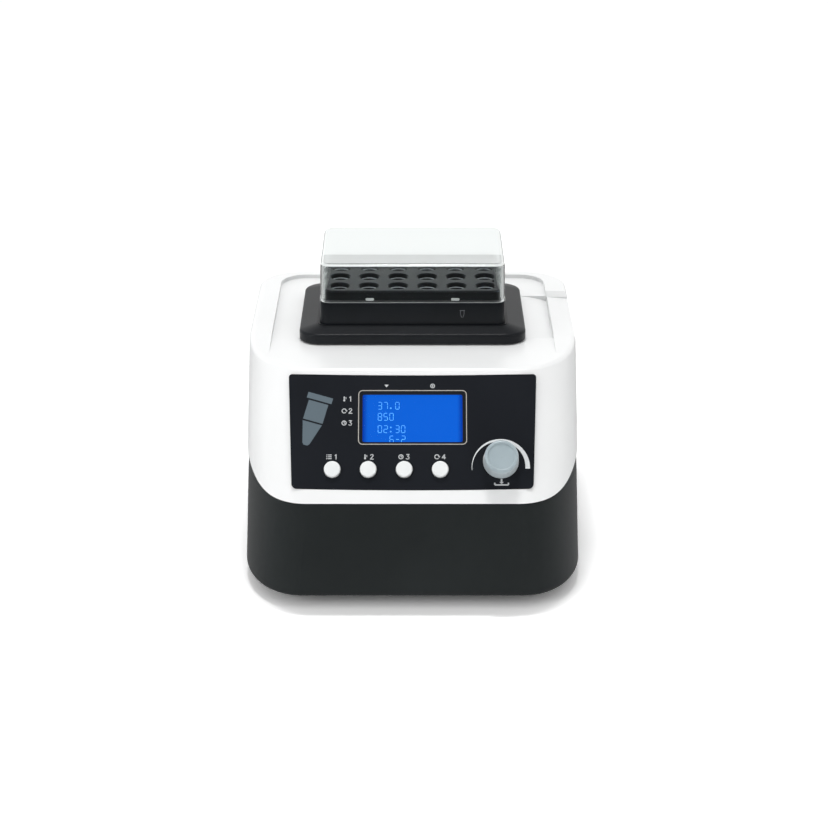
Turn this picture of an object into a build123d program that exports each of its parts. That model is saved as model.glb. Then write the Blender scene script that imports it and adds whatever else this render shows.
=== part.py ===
"""Microtube shaker: a bench instrument that orbits a heated block of tube wells under a clear lid."""
import os
from math import cos, radians, sin, sqrt, tan

from build123d import *

os.makedirs("parts", exist_ok=True)

# Sizes are in mm. The origin is on the floor under the middle of the body, +X right and +Y to the rear.
# Body shell
body_width = 205.0
body_depth = 230.0
foot_height = 8.0
foot_diameter = 18.0
seam_front_rise = 61.0
seam_side_rise = 71.0
deck_rise = 126.0
rim_height = 2.5
rim_width = 14.0
panel_lean = 38.0
wall = 3.0
lip_overhang = 0.8
seam_gap = 0.7
bottom_corner_width = 36.0
bottom_corner_depth = 56.0
seam_corner_width = 39.0
seam_corner_depth = 68.0
deck_corner_width = 40.0
deck_corner_depth = 62.0
rear_corner = 27.0
side_draft = 1.3
deck_edge_round = 3.0
seam_climb_depth = 75.0

# Tube block and its lid
tube_spacing = 18.0
tube_columns = 6
tube_rows = 4
tube_bore = 11.0
tube_mouth = 12.4
tube_mouth_depth = 2.8
tube_depth = 37.0
block_height = 43.0
block_rise = 31.0
block_step = 7.0
block_ledge = 3.0
block_corner = 5.0
side_margin = 9.0
end_margin = 10.0
platform_centre_y = 25.3
lid_height = 24.4
lid_wall = 1.8
lid_play = 0.9
lid_draft = 0.3

# Platform stack under the block
heating_plate_thickness = 6.0
heater_pad_thickness = 1.5
insulation_thickness = 4.0
table_thickness = 6.0
table_overhang = 6.0
skirt_side_reach = 12.7
skirt_end_reach = 9.9
skirt_wall_height = 5.8
skirt_slope_rise = 3.0
skirt_wall = 2.0
skirt_lift = 0.8
collar_wall = 1.2

# Orbital drive
orbit_radius = 1.5
shaft_diameter = 8.0
bearing_diameter = 22.0
bearing_width = 7.0
guide_pin_diameter = 6.0
guide_bearing_diameter = 13.0
guide_bearing_width = 5.0
guide_side_inset = 13.0
guide_front_inset = 20.0
guide_rear_inset = 10.0
pillar_length = 51.0
chassis_thickness = 4.0
chassis_width = 154.0
motor_diameter = 58.0
motor_length = 36.0
running_clearance = 0.03

# Front panel, measured across the panel and up its slope
overlay_top_width = 147.0
overlay_bottom_width = 141.6
overlay_thickness = 0.5
overlay_foot = 9.1
overlay_bow = 0.9
window_width = 59.0
window_height = 29.0
display_centre_up = 51.8
button_diameter = 9.7
button_spacing = 21.1
button_first_x = -47.1
button_up = 20.5
button_proud = 2.4
button_travel = 1.2
knob_diameter = 21.1
knob_height = 11.4
knob_x = 51.8
knob_up = 25.5
knob_lift = 1.1
encoder_shaft_diameter = 6.0
board_depth = 14.0
board_thickness = 1.6

# Rear inlet and switch
rocker_from_side = 36.5
inlet_spacing = 36.0
inlet_height = 44.0
recess_margin = 10.0
vent_from_side = 50.5
rocker_tilt = 9.0
screw_diameter = 4.0
seat = 0.05

# Levels and faces that follow from the sizes
front_y = -body_depth / 2
rear_y = body_depth / 2
half_width = body_width / 2
base_level = foot_height
floor_level = foot_height + wall
seam_front = foot_height + seam_front_rise
seam_side = foot_height + seam_side_rise
deck_level = foot_height + deck_rise
rim_level = deck_level + rim_height
lean_run = tan(radians(panel_lean))
face_wall = wall / cos(radians(panel_lean))
panel_length = (deck_level - seam_front) / cos(radians(panel_lean))
lean_normal = (0, -cos(radians(panel_lean)), sin(radians(panel_lean)))
panel_plane = Plane(origin=(0, front_y, seam_front), x_dir=(1, 0, 0), z_dir=lean_normal)

block_top = deck_level + block_rise
block_bottom = block_top - block_height
block_ledge_level = block_top - block_step
block_length = (tube_columns - 1) * tube_spacing + 2 * side_margin
block_breadth = (tube_rows - 1) * tube_spacing + 2 * end_margin
foot_length = block_length + 2 * block_ledge
foot_breadth = block_breadth + 2 * block_ledge
heating_plate_level = block_bottom - heating_plate_thickness
heater_pad_level = heating_plate_level - heater_pad_thickness
insulation_level = heater_pad_level - insulation_thickness
table_level = insulation_level - table_thickness

shaft_y = platform_centre_y - orbit_radius
chassis_level = floor_level + pillar_length
chassis_top = chassis_level + chassis_thickness
shaft_axis = (0, shaft_y)
pin_axis = (0, platform_centre_y)
table_length = foot_length + 2 * table_overhang
table_breadth = foot_breadth + 2 * table_overhang
guide_side = table_length / 2 - guide_side_inset
guide_front = table_breadth / 2 - guide_front_inset
guide_rear = table_breadth / 2 - guide_rear_inset
guide_offsets = [(-guide_side, -guide_front), (guide_side, -guide_front), (0, guide_rear)]
hub_level = table_level - 6.0
crank_bearing_level = hub_level + 1.0
eccentric_top = hub_level - 2.0
eccentric_level = eccentric_top - 9.0
housing_top = eccentric_level - 1.5
guide_pillar_top = table_level - 10.5

collar_length = foot_length + 0.6 + 2 * collar_wall
collar_breadth = foot_breadth + 0.6 + 2 * collar_wall
opening_length = collar_length + 2 * (orbit_radius + 0.8)
opening_breadth = collar_breadth + 2 * (orbit_radius + 0.8)
skirt_length = foot_length + 2 * skirt_side_reach
skirt_breadth = foot_breadth + 2 * skirt_end_reach
skirt_foot_level = deck_level + skirt_lift
skirt_edge_level = skirt_foot_level + skirt_wall_height
skirt_top_level = skirt_edge_level + skirt_slope_rise


def blend(first, second, share):
    """Return the size that lies the given share of the way from the first to the second."""
    return first + (second - first) * share


def draw_outline(front, side, corner_x, corner_y, corner):
    """Draw a body outline with straight sides, long front corners and round rear corners."""
    rear = rear_y - half_width + side
    with BuildLine() as edge:
        Line((corner_x - side, front), (side - corner_x, front))
        EllipticalCenterArc((side - corner_x, front + corner_y), corner_x, corner_y, 270, arc_size=90)
        Line((side, front + corner_y), (side, rear - corner))
        CenterArc((side - corner, rear - corner), corner, 0, 90)
        Line((side - corner, rear), (corner - side, rear))
        CenterArc((corner - side, rear - corner), corner, 90, 90)
        Line((-side, rear - corner), (-side, front + corner_y))
        EllipticalCenterArc((corner_x - side, front + corner_y), corner_x, corner_y, 180, arc_size=90)
    make_face(edge.edges())


def upright_outline(level, inset):
    """Draw the lower body's outline at a height up to the seam, with its faces moved inwards."""
    share = (level - base_level) / (seam_front - base_level)
    corner_x = blend(bottom_corner_width, seam_corner_width, share) - inset
    corner_y = blend(bottom_corner_depth, seam_corner_depth, share) - inset
    side = half_width - inset - side_draft * share
    draw_outline(front_y + inset, side, corner_x, corner_y, rear_corner - inset)


def leaning_outline(level, inset):
    """Draw the leaning upper body's outline at a height, with its faces moved inwards."""
    share = (level - seam_front) / (deck_level - seam_front)
    front = front_y + inset / cos(radians(panel_lean)) + (level - seam_front) * lean_run
    side = half_width - inset - side_draft
    corner_x = blend(seam_corner_width, deck_corner_width, share) - inset
    corner_y = blend(seam_corner_depth, deck_corner_depth, share) - inset
    draw_outline(front, side, corner_x, corner_y, rear_corner - inset)


def seam_outline(lift, ceiling):
    """Draw the side view of everything above the seam, which climbs from the front to the sides."""
    start_y = front_y - 15
    bend_y = front_y + 3
    level_y = front_y + seam_climb_depth
    with BuildLine() as edge:
        Line((start_y, ceiling), (start_y, seam_front + lift))
        Line((start_y, seam_front + lift), (bend_y, seam_front + lift))
        Bezier(
            (bend_y, seam_front + lift),
            (bend_y + 22, seam_front + lift),
            (level_y - 28, seam_side + lift),
            (level_y, seam_side + lift),
        )
        Line((level_y, seam_side + lift), (rear_y + 15, seam_side + lift))
        Line((rear_y + 15, seam_side + lift), (rear_y + 15, ceiling))
        Line((rear_y + 15, ceiling), (start_y, ceiling))
    make_face(edge.edges())


def overlay_outline(grow):
    """Draw the control panel's overlay on the panel plane, grown outwards by the given amount."""
    top = panel_length - 3.4 + grow
    bottom = overlay_foot - grow
    upper = overlay_top_width / 2 + grow
    lower = overlay_bottom_width / 2 + grow
    with BuildLine() as edge:
        ThreePointArc((-upper, top), (0, top - overlay_bow), (upper, top))
        Line((upper, top), (lower, bottom))
        ThreePointArc((lower, bottom), (0, bottom - overlay_bow), (-lower, bottom))
        Line((-lower, bottom), (-upper, top))
    face = make_face(edge.edges())
    rounded_foot = fillet(face.vertices().sort_by(Axis.Y)[:2], 3.2)
    fillet(rounded_foot.vertices().sort_by(Axis.Y)[-2:], 2.0)


# Feet under the four corners
foot_places = [
    (-half_width + 26, front_y + 31),
    (half_width - 26, front_y + 31),
    (-half_width + 26, rear_y - 26),
    (half_width - 26, rear_y - 26),
]
boss_places = [
    (-half_width + 13, front_y + 62),
    (half_width - 13, front_y + 62),
    (-half_width + 13, rear_y - 52),
    (half_width - 13, rear_y - 52),
]
boss_diameter = 12.0
boss_meet = seam_front - 9.0
boss_head_level = boss_meet - 18.0
chassis_front_y = front_y + 77
chassis_rear_y = rear_y - 23
pillar_places = [
    (-chassis_width / 2 + 7, chassis_front_y + 8),
    (chassis_width / 2 - 7, chassis_front_y + 8),
    (-chassis_width / 2 + 7, chassis_rear_y - 8),
    (chassis_width / 2 - 7, chassis_rear_y - 8),
]
rear_recess = 2.2
rear_face_y = rear_y - side_draft - lip_overhang - rear_recess
inlet_length = 50.0
inlet_breadth = 24.0
rocker_length = 30.0
rocker_breadth = 15.0
rocker_x = rocker_from_side - half_width
inlet_x = rocker_x + inlet_spacing
recess_x = (rocker_x + inlet_x) / 2 + (inlet_length - rocker_breadth) / 4
recess_length = inlet_spacing + (inlet_length + rocker_breadth) / 2 + 2 * recess_margin
vent_x = half_width - vent_from_side
power_board_place = (-50.0, 35.0)
power_board_post = 6.0
power_board_width = 36.0
power_board_length = 80.0
power_board_edge = 4.0
board_holes = (power_board_width - 2 * power_board_edge, power_board_length - 2 * power_board_edge, 2, 2)

with BuildPart() as lower_cavity:
    with BuildSketch(Plane.XY.offset(floor_level)):
        upright_outline(floor_level, wall)
    with BuildSketch(Plane.XY.offset(seam_front)):
        leaning_outline(seam_front, wall + lip_overhang)
    with BuildSketch(Plane.XY.offset(deck_level)):
        leaning_outline(deck_level, wall + lip_overhang)
    loft(ruled=True)
    with BuildSketch(Plane.XY.offset(floor_level)):
        with Locations(boss_places):
            Circle(boss_diameter / 2)
    extrude(amount=boss_meet - floor_level, mode=Mode.SUBTRACT)
    with BuildSketch(Plane.XY.offset(floor_level)):
        with Locations(power_board_place):
            with GridLocations(*board_holes):
                Circle(3)
    extrude(amount=power_board_post, mode=Mode.SUBTRACT)
    with BuildSketch(Plane.XZ.offset(-rear_face_y)):
        with Locations((recess_x, inlet_height)):
            Rectangle(recess_length + 6, rocker_length + 12)
    extrude(amount=wall, mode=Mode.SUBTRACT)

with BuildPart() as tongue:
    with BuildSketch(Plane.XY.offset(seam_front - 6)):
        upright_outline(seam_front - 6, lip_overhang + 1.7)
    with BuildSketch(Plane.XY.offset(seam_front)):
        leaning_outline(seam_front, lip_overhang + 1.7)
    with BuildSketch(Plane.XY.offset(deck_level)):
        leaning_outline(deck_level, lip_overhang + 1.7)
    loft(ruled=True)
    with BuildSketch(Plane.YZ):
        seam_outline(2.6, deck_level + 20)
    extrude(amount=half_width + 10, both=True, mode=Mode.SUBTRACT)

with BuildPart() as lower_casing:
    with BuildSketch(Plane.XY.offset(base_level)):
        upright_outline(base_level, 0)
    with BuildSketch(Plane.XY.offset(seam_front)):
        upright_outline(seam_front, lip_overhang)
    with BuildSketch(Plane.XY.offset(deck_level)):
        leaning_outline(deck_level, lip_overhang)
    loft(ruled=True)
    fillet(lower_casing.faces().sort_by(Axis.Z)[0].edges(), 2.5)
    with BuildSketch(Plane.YZ):
        seam_outline(-seam_gap, deck_level + 20)
    extrude(amount=half_width + 10, both=True, mode=Mode.SUBTRACT)
    add(tongue.part)
    add(lower_cavity.part, mode=Mode.SUBTRACT)
    with Locations(Plane.XY.offset(base_level)):
        with Locations(boss_places):
            Cylinder(4.3, 2 * (boss_head_level - base_level), mode=Mode.SUBTRACT)
            Cylinder(screw_diameter / 2 + seat, 200, mode=Mode.SUBTRACT)
        with Locations(foot_places + pillar_places):
            Cylinder(screw_diameter / 2 + seat, 4 * wall, mode=Mode.SUBTRACT)
        with Locations(pillar_places):
            Cylinder(3.9, 2.8, mode=Mode.SUBTRACT)
    with BuildSketch(Plane.XY.offset(base_level)):
        with Locations((0, front_y + 50), (0, rear_y - 28)):
            with GridLocations(9, 0, 9, 1):
                SlotOverall(22, 3.4, rotation=90)
    extrude(amount=wall, mode=Mode.SUBTRACT)
    with BuildSketch(Plane.XY.offset(floor_level)):
        with Locations(power_board_place):
            with GridLocations(*board_holes):
                Circle(1.3)
    extrude(amount=power_board_post, mode=Mode.SUBTRACT)
    with BuildSketch(Plane.XZ.offset(-rear_y - 5)):
        with Locations((recess_x, inlet_height)):
            RectangleRounded(recess_length, rocker_length + 6, 3)
    extrude(amount=rear_y + 5 - rear_face_y, mode=Mode.SUBTRACT)
    with BuildSketch(Plane.XZ.offset(-rear_face_y)):
        with Locations((inlet_x, inlet_height)):
            Rectangle(27.4, 20.4)
            with GridLocations(40, 0, 2, 1):
                Circle(1.6)
        with Locations((rocker_x, inlet_height)):
            Rectangle(rocker_breadth - 1.6, rocker_length - 3.0)
    extrude(amount=wall + 1, mode=Mode.SUBTRACT)
    with BuildSketch(Plane.XZ.offset(-rear_y - 5)):
        with Locations((vent_x, inlet_height)):
            with GridLocations(0, 6.5, 1, 5):
                SlotOverall(40, 2.8)
    extrude(amount=20, mode=Mode.SUBTRACT)

opening_corner = 7.0
pocket_inner_x = half_width - 34.5
pocket_crease_x = half_width - 15.3
pocket_front_y = front_y + 103.5
pocket_rear_y = rear_y - 47.0
pocket_depth = 3.4
pocket_ledge = 0.6
pocket_fall = 1.2
post_spread_x = 56.0
post_low_up = 10.5
post_high_up = 68.0

tongue_play = 0.2
with BuildPart() as rebate:
    with BuildSketch(Plane.XY.offset(seam_front - 12)):
        leaning_outline(seam_front - 12, lip_overhang + 1.7 - tongue_play)
    with BuildSketch(Plane.XY.offset(deck_level)):
        leaning_outline(deck_level, lip_overhang + 1.7 - tongue_play)
    loft(ruled=True)
    with BuildSketch(Plane.YZ):
        seam_outline(2.6 + tongue_play, deck_level + 20)
    extrude(amount=half_width + 10, both=True, mode=Mode.SUBTRACT)

with BuildPart() as upper_cavity:
    with BuildSketch(Plane.XY.offset(seam_front - 12)):
        leaning_outline(seam_front - 12, wall)
    with BuildSketch(Plane.XY.offset(deck_level - wall)):
        leaning_outline(deck_level - wall, wall)
    loft(ruled=True)
    add(rebate.part)
    with BuildSketch(Plane.XY.offset(deck_level - wall - pocket_depth)):
        with Locations(((pocket_inner_x + half_width) / 2, (pocket_front_y + pocket_rear_y) / 2)):
            Rectangle(half_width - pocket_inner_x, pocket_rear_y - pocket_front_y + 2 * wall)
    extrude(amount=pocket_depth, mode=Mode.SUBTRACT)
    with BuildSketch(Plane.XY.offset(boss_meet)):
        with Locations(boss_places):
            Circle(boss_diameter / 2)
    extrude(amount=deck_level, mode=Mode.SUBTRACT)
    with BuildSketch(panel_plane.offset(-board_depth)):
        with Locations((0, (post_low_up + post_high_up) / 2)):
            with GridLocations(2 * post_spread_x, post_high_up - post_low_up, 2, 2):
                Circle(3.5)
    extrude(amount=board_depth, mode=Mode.SUBTRACT)
    with BuildSketch(Plane.XY.offset(deck_level - wall - 3)):
        with Locations(shaft_axis):
            RectangleRounded(opening_length + 4, opening_breadth + 4, opening_corner + 2)
            RectangleRounded(opening_length, opening_breadth, opening_corner, mode=Mode.SUBTRACT)
    extrude(amount=4, mode=Mode.SUBTRACT)

with BuildPart() as upper_casing:
    with BuildSketch(Plane.XY.offset(seam_front)):
        leaning_outline(seam_front, 0)
    with BuildSketch(Plane.XY.offset(rim_level)):
        leaning_outline(rim_level, 0)
    loft(ruled=True)
    with BuildSketch(Plane.YZ):
        with BuildLine():
            Polyline(
                (front_y - 20, deck_level),
                (front_y + 77, deck_level),
                (front_y + 107, rim_level),
                (front_y + 107, rim_level + 20),
                (front_y - 20, rim_level + 20),
                (front_y - 20, deck_level),
            )
        make_face()
    extrude(amount=half_width + 10, both=True, mode=Mode.SUBTRACT)
    top_edges = upper_casing.edges().filter_by_position(Axis.Z, deck_level - 0.01, rim_level + 0.01)
    crossings = top_edges.filter_by(Axis.X).filter_by_position(Axis.Y, front_y + 70, front_y + 112)
    fillet(top_edges - crossings, deck_edge_round)
    with BuildSketch(Plane.XY.offset(deck_level)):
        with Locations((0, (front_y + rear_y - rim_width + 4) / 2)):
            RectangleRounded(body_width - 2 * rim_width - 3.0, body_depth - rim_width + 4, 17)
    extrude(amount=rim_height + 1, mode=Mode.SUBTRACT)
    with BuildSketch(Plane.XZ.offset(-pocket_rear_y)):
        with BuildLine():
            Bezier(
                (pocket_inner_x, deck_level),
                ((pocket_inner_x + pocket_crease_x) / 2, deck_level - 0.2),
                (pocket_crease_x, deck_level - pocket_depth),
            )
            Polyline(
                (pocket_crease_x, deck_level - pocket_depth),
                (pocket_crease_x + 0.6, deck_level - pocket_ledge),
                (half_width, deck_level - pocket_ledge - pocket_fall),
                (half_width + 5, deck_level - pocket_ledge - pocket_fall),
                (half_width + 5, deck_level + 10),
                (pocket_inner_x, deck_level + 10),
                (pocket_inner_x, deck_level),
            )
        make_face()
    extrude(amount=pocket_rear_y - pocket_front_y, mode=Mode.SUBTRACT)
    with BuildSketch(Plane.YZ.offset(pocket_crease_x)):
        with BuildLine():
            Polyline(
                (pocket_rear_y - 1, deck_level - pocket_ledge),
                (pocket_rear_y, deck_level - pocket_ledge),
                (pocket_rear_y + 4, rim_level + 1),
                (pocket_rear_y - 1, rim_level + 1),
                (pocket_rear_y - 1, deck_level - pocket_ledge),
            )
        make_face()
    extrude(amount=body_width / 2, mode=Mode.SUBTRACT)
    add(upper_cavity.part, mode=Mode.SUBTRACT)
    with BuildSketch(Plane.YZ):
        seam_outline(0, deck_level + 40)
    extrude(amount=half_width + 10, both=True, mode=Mode.INTERSECT)
    with BuildSketch(Plane.XY.offset(boss_meet)):
        with Locations(boss_places):
            Circle(boss_diameter / 2)
    extrude(amount=seam_side + 6 - boss_meet)
    with BuildSketch(panel_plane.offset(-board_depth)):
        with Locations((-post_spread_x, post_low_up), (post_spread_x, post_low_up)):
            Circle(3.5)
    extrude(amount=board_depth - wall + 0.5)
    with BuildSketch(Plane.XY.offset(deck_level - 20)):
        with Locations(shaft_axis):
            RectangleRounded(opening_length, opening_breadth, opening_corner)
    extrude(amount=40, mode=Mode.SUBTRACT)
    with BuildSketch(panel_plane.offset(-overlay_thickness + 0.2)):
        overlay_outline(0.15)
    extrude(amount=5, mode=Mode.SUBTRACT)
    with BuildSketch(panel_plane.offset(-20)):
        with Locations((0, display_centre_up)):
            RectangleRounded(window_width + 3, window_height + 3, 1.5)
        with Locations((button_first_x + 1.5 * button_spacing, button_up)):
            with GridLocations(button_spacing, 0, 4, 1):
                Circle(button_diameter / 2 + 0.3)
        with Locations((knob_x, knob_up)):
            Circle(3.7)
    extrude(amount=30, mode=Mode.SUBTRACT)
    with BuildSketch(panel_plane.offset(-board_depth)):
        with Locations((0, (post_low_up + post_high_up) / 2)):
            with GridLocations(2 * post_spread_x, post_high_up - post_low_up, 2, 2):
                Circle(1.25 + seat)
    extrude(amount=8, mode=Mode.SUBTRACT)
    with BuildSketch(Plane.XY.offset(boss_meet)):
        with Locations(boss_places):
            Circle(screw_diameter / 2 + seat)
    extrude(amount=11, mode=Mode.SUBTRACT)

for number, place in enumerate(foot_places, 1):
    with BuildPart() as rubber_foot:
        with Locations(Pos(place[0], place[1], foot_height / 2)):
            Cylinder(foot_diameter / 2, foot_height)
        chamfer(rubber_foot.edges().sort_by(Axis.Z)[0], 1.2)
        with Locations(Pos(place[0], place[1], 0)):
            Cylinder(4.6, foot_height, mode=Mode.SUBTRACT)
            Cylinder(screw_diameter / 2 + seat, 4 * foot_height, mode=Mode.SUBTRACT)
    rubber_foot.part.label = f"rubber_foot_{number}"
    export_step(rubber_foot.part, f"parts/rubber_foot_{number}.step")


def make_screw(diameter, length, head_diameter, head_height):
    """Build a socket screw that points down, with the underside of its head at the origin."""
    with BuildPart() as screw:
        with BuildSketch(Plane.XY):
            Circle(head_diameter / 2)
        extrude(amount=head_height)
        chamfer(screw.edges().sort_by(Axis.Z)[-1], 0.3)
        with BuildSketch(Plane.XY.offset(-length)):
            Circle(diameter / 2)
        extrude(amount=length)
        with BuildSketch(Plane.XY.offset(head_height)):
            RegularPolygon(diameter * 0.42, 6)
        extrude(amount=-head_height * 0.6, mode=Mode.SUBTRACT)
    return screw.part


upside_down = Rot(180, 0, 0)
screw_head = 1.9 * screw_diameter
screw_bite = 10.0
short_screw_length = 9.0
casing_screw_length = boss_meet - boss_head_level + screw_bite
casing_screw = make_screw(screw_diameter, casing_screw_length, screw_head, 0.9 * screw_diameter)
with BuildPart() as casing_screws:
    with Locations([Pos(x, y, boss_head_level) * upside_down for x, y in boss_places]):
        add(casing_screw)

foot_screw = make_screw(screw_diameter, short_screw_length, screw_head, 0.6 * screw_diameter)
with BuildPart() as foot_screws:
    with Locations([Pos(x, y, foot_height / 2) * upside_down for x, y in foot_places]):
        add(foot_screw)

chassis_screw_head = 1.8 * screw_diameter
chassis_screw = make_screw(screw_diameter, short_screw_length, chassis_screw_head, 1.3)
with BuildPart() as chassis_screws:
    with Locations([Pos(x, y, chassis_top) for x, y in pillar_places]):
        add(chassis_screw)
    with Locations([Pos(x, y, base_level + 1.4) * upside_down for x, y in pillar_places]):
        add(chassis_screw)

with BuildPart() as chassis_pillars:
    with BuildSketch(Plane.XY.offset(floor_level)):
        with Locations(pillar_places):
            RegularPolygon(1.3 * screw_diameter, 6)
            Circle(screw_diameter / 2 + seat, mode=Mode.SUBTRACT)
    extrude(amount=pillar_length)

drive_screw_circle = 42.0
housing_flange = 4.0
stub_diameter = 8.0
guide_places = [(x, shaft_y + y) for x, y in guide_offsets]

with BuildPart() as chassis_plate:
    with BuildSketch(Plane.XY.offset(chassis_level)):
        with Locations((0, (chassis_front_y + chassis_rear_y) / 2)):
            RectangleRounded(chassis_width, chassis_rear_y - chassis_front_y, 6)
        with Locations(pillar_places):
            Circle(screw_diameter / 2 + seat, mode=Mode.SUBTRACT)
        with Locations(guide_places):
            Circle(stub_diameter / 2 + seat, mode=Mode.SUBTRACT)
        with Locations(shaft_axis):
            Circle(shaft_diameter / 2 + 3, mode=Mode.SUBTRACT)
            with PolarLocations(drive_screw_circle / 2, 4, 45):
                Circle(screw_diameter / 2 + seat, mode=Mode.SUBTRACT)
    extrude(amount=chassis_thickness)
    chamfer(chassis_plate.faces().sort_by(Axis.Z)[-1].outer_wire().edges(), 0.6)

with BuildPart() as drive_motor:
    with BuildSketch(Plane.XY.offset(chassis_level - motor_length)):
        with Locations(shaft_axis):
            Circle(motor_diameter / 2)
    extrude(amount=motor_length)
    fillet(drive_motor.edges().sort_by(Axis.Z)[0], 3)
    with BuildSketch(Plane.XY.offset(chassis_level - motor_length)):
        with Locations((shaft_axis[0], shaft_axis[1] - 14)):
            with GridLocations(14, 0, 2, 1):
                Rectangle(4, 1)
    extrude(amount=-6)
    with BuildSketch(Plane.XY.offset(chassis_level)):
        with Locations(shaft_axis):
            with PolarLocations(drive_screw_circle / 2, 4, 45):
                Circle(screw_diameter / 2 + seat)
    extrude(amount=-9, mode=Mode.SUBTRACT)
    with BuildSketch(Plane.XY.offset(chassis_level)):
        with Locations(shaft_axis):
            Circle(shaft_diameter / 2 + running_clearance)
    extrude(amount=-(motor_length - 6), mode=Mode.SUBTRACT)

drive_screw = make_screw(screw_diameter, 16, 7.2, 2.8)
with BuildPart() as drive_screws:
    with Locations(Pos(shaft_axis[0], shaft_axis[1], chassis_top + housing_flange)):
        with PolarLocations(drive_screw_circle / 2, 4, 45):
            add(drive_screw)

with BuildPart() as bearing_housing:
    with BuildSketch(Plane.XY.offset(chassis_top)):
        with Locations(shaft_axis):
            Circle(drive_screw_circle / 2 + 5)
            with PolarLocations(drive_screw_circle / 2, 4, 45):
                Circle(screw_diameter / 2 + seat, mode=Mode.SUBTRACT)
    extrude(amount=housing_flange)
    with BuildSketch(Plane.XY.offset(chassis_top)):
        with Locations(shaft_axis):
            Circle(bearing_diameter / 2 + 4.5)
    extrude(amount=housing_top - chassis_top)
    with BuildSketch(Plane.XY.offset(chassis_top)):
        with Locations(shaft_axis):
            Circle(bearing_diameter / 2 - 2)
    extrude(amount=housing_top - chassis_top, mode=Mode.SUBTRACT)
    with BuildSketch(Plane.XY.offset(chassis_top)):
        with Locations(shaft_axis):
            Circle(bearing_diameter / 2 + seat)
    extrude(amount=bearing_width, mode=Mode.SUBTRACT)
    with BuildSketch(Plane.XY.offset(housing_top)):
        with Locations(shaft_axis):
            Circle(bearing_diameter / 2 + seat)
    extrude(amount=-bearing_width, mode=Mode.SUBTRACT)


def make_bearing(outer_diameter, bore_diameter, width):
    """Build a shielded ball bearing that stands on the origin."""
    middle = (outer_diameter + bore_diameter) / 4
    with BuildPart() as bearing:
        with BuildSketch(Plane.XY):
            Circle(outer_diameter / 2)
            Circle(bore_diameter / 2 + running_clearance, mode=Mode.SUBTRACT)
        extrude(amount=width)
        with BuildSketch(Plane.XY, Plane.XY.offset(width - 0.4)):
            Circle(middle + 1.6)
            Circle(middle - 1.6, mode=Mode.SUBTRACT)
        extrude(amount=0.4, mode=Mode.SUBTRACT)
    return bearing.part


shaft_bearing = make_bearing(bearing_diameter, shaft_diameter, bearing_width)
with BuildPart() as shaft_bearings:
    with Locations(
        Pos(shaft_axis[0], shaft_axis[1], chassis_top),
        Pos(shaft_axis[0], shaft_axis[1], housing_top - bearing_width),
    ):
        add(shaft_bearing)

for number, place in enumerate(guide_places, 1):
    with BuildPart() as guide_pillar:
        with BuildSketch(Plane.XY.offset(chassis_level)):
            with Locations(place):
                Circle(stub_diameter / 2)
        extrude(amount=chassis_thickness)
        with BuildSketch(Plane.XY.offset(chassis_top)):
            with Locations(place):
                Circle(guide_bearing_diameter / 2 + 3)
        extrude(amount=guide_pillar_top - chassis_top)
        with BuildSketch(Plane.XY.offset(guide_pillar_top)):
            with Locations(place):
                Circle(guide_bearing_diameter / 2 + seat)
        extrude(amount=-guide_bearing_width, mode=Mode.SUBTRACT)
        with BuildSketch(Plane.XY.offset(guide_pillar_top)):
            with Locations(place):
                Circle(guide_pin_diameter / 2 + 1)
        extrude(amount=-guide_bearing_width - 3, mode=Mode.SUBTRACT)
    guide_pillar.part.label = f"guide_pillar_{number}"
    export_step(guide_pillar.part, f"parts/guide_pillar_{number}.step")

guide_bearing = make_bearing(guide_bearing_diameter, guide_pin_diameter, guide_bearing_width)
with BuildPart() as lower_guide_bearings:
    with Locations([Pos(x, y, guide_pillar_top - guide_bearing_width) for x, y in guide_places]):
        add(guide_bearing)

# The drive shaft with its crank pin, and three guide cranks that copy its throw
shaft_foot_level = chassis_level - motor_length + 7
with BuildPart() as eccentric_shaft:
    with BuildSketch(Plane.XY.offset(shaft_foot_level)):
        with Locations(shaft_axis):
            Circle(shaft_diameter / 2)
    extrude(amount=eccentric_level - shaft_foot_level)
    with BuildSketch(Plane.XY.offset(eccentric_level)):
        with Locations(shaft_axis):
            Circle(shaft_diameter * 1.5)
    extrude(amount=eccentric_top - eccentric_level)
    chamfer(eccentric_shaft.edges().group_by(Axis.Z)[-1], 0.6)
    with BuildSketch(Plane.XY.offset(eccentric_top)):
        with Locations(pin_axis):
            Circle(shaft_diameter / 2)
    extrude(amount=crank_bearing_level + bearing_width - eccentric_top)

weight_radius = 25.0
with BuildPart() as counterweight:
    with BuildSketch(Plane.XY.offset(eccentric_level + 1)):
        with Locations(shaft_axis):
            Circle(weight_radius)
        with Locations((shaft_axis[0], shaft_axis[1] + weight_radius)):
            Rectangle(2 * weight_radius, 2 * weight_radius, mode=Mode.SUBTRACT)
        with Locations(shaft_axis):
            Circle(shaft_diameter * 1.5 + 4)
            Circle(shaft_diameter * 1.5 + seat, mode=Mode.SUBTRACT)
    extrude(amount=eccentric_top - eccentric_level - 2)
    with BuildSketch(Plane.XZ.offset(-shaft_y)):
        with Locations((shaft_axis[0], (eccentric_level + eccentric_top) / 2)):
            Circle(1.5 + seat)
    extrude(amount=weight_radius + 5, mode=Mode.SUBTRACT)

with BuildPart() as counterweight_screw:
    with BuildSketch(Plane.XZ.offset(-(shaft_y - shaft_diameter * 1.5 - seat))):
        with Locations((shaft_axis[0], (eccentric_level + eccentric_top) / 2)):
            Circle(1.5)
    extrude(amount=8)

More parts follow.
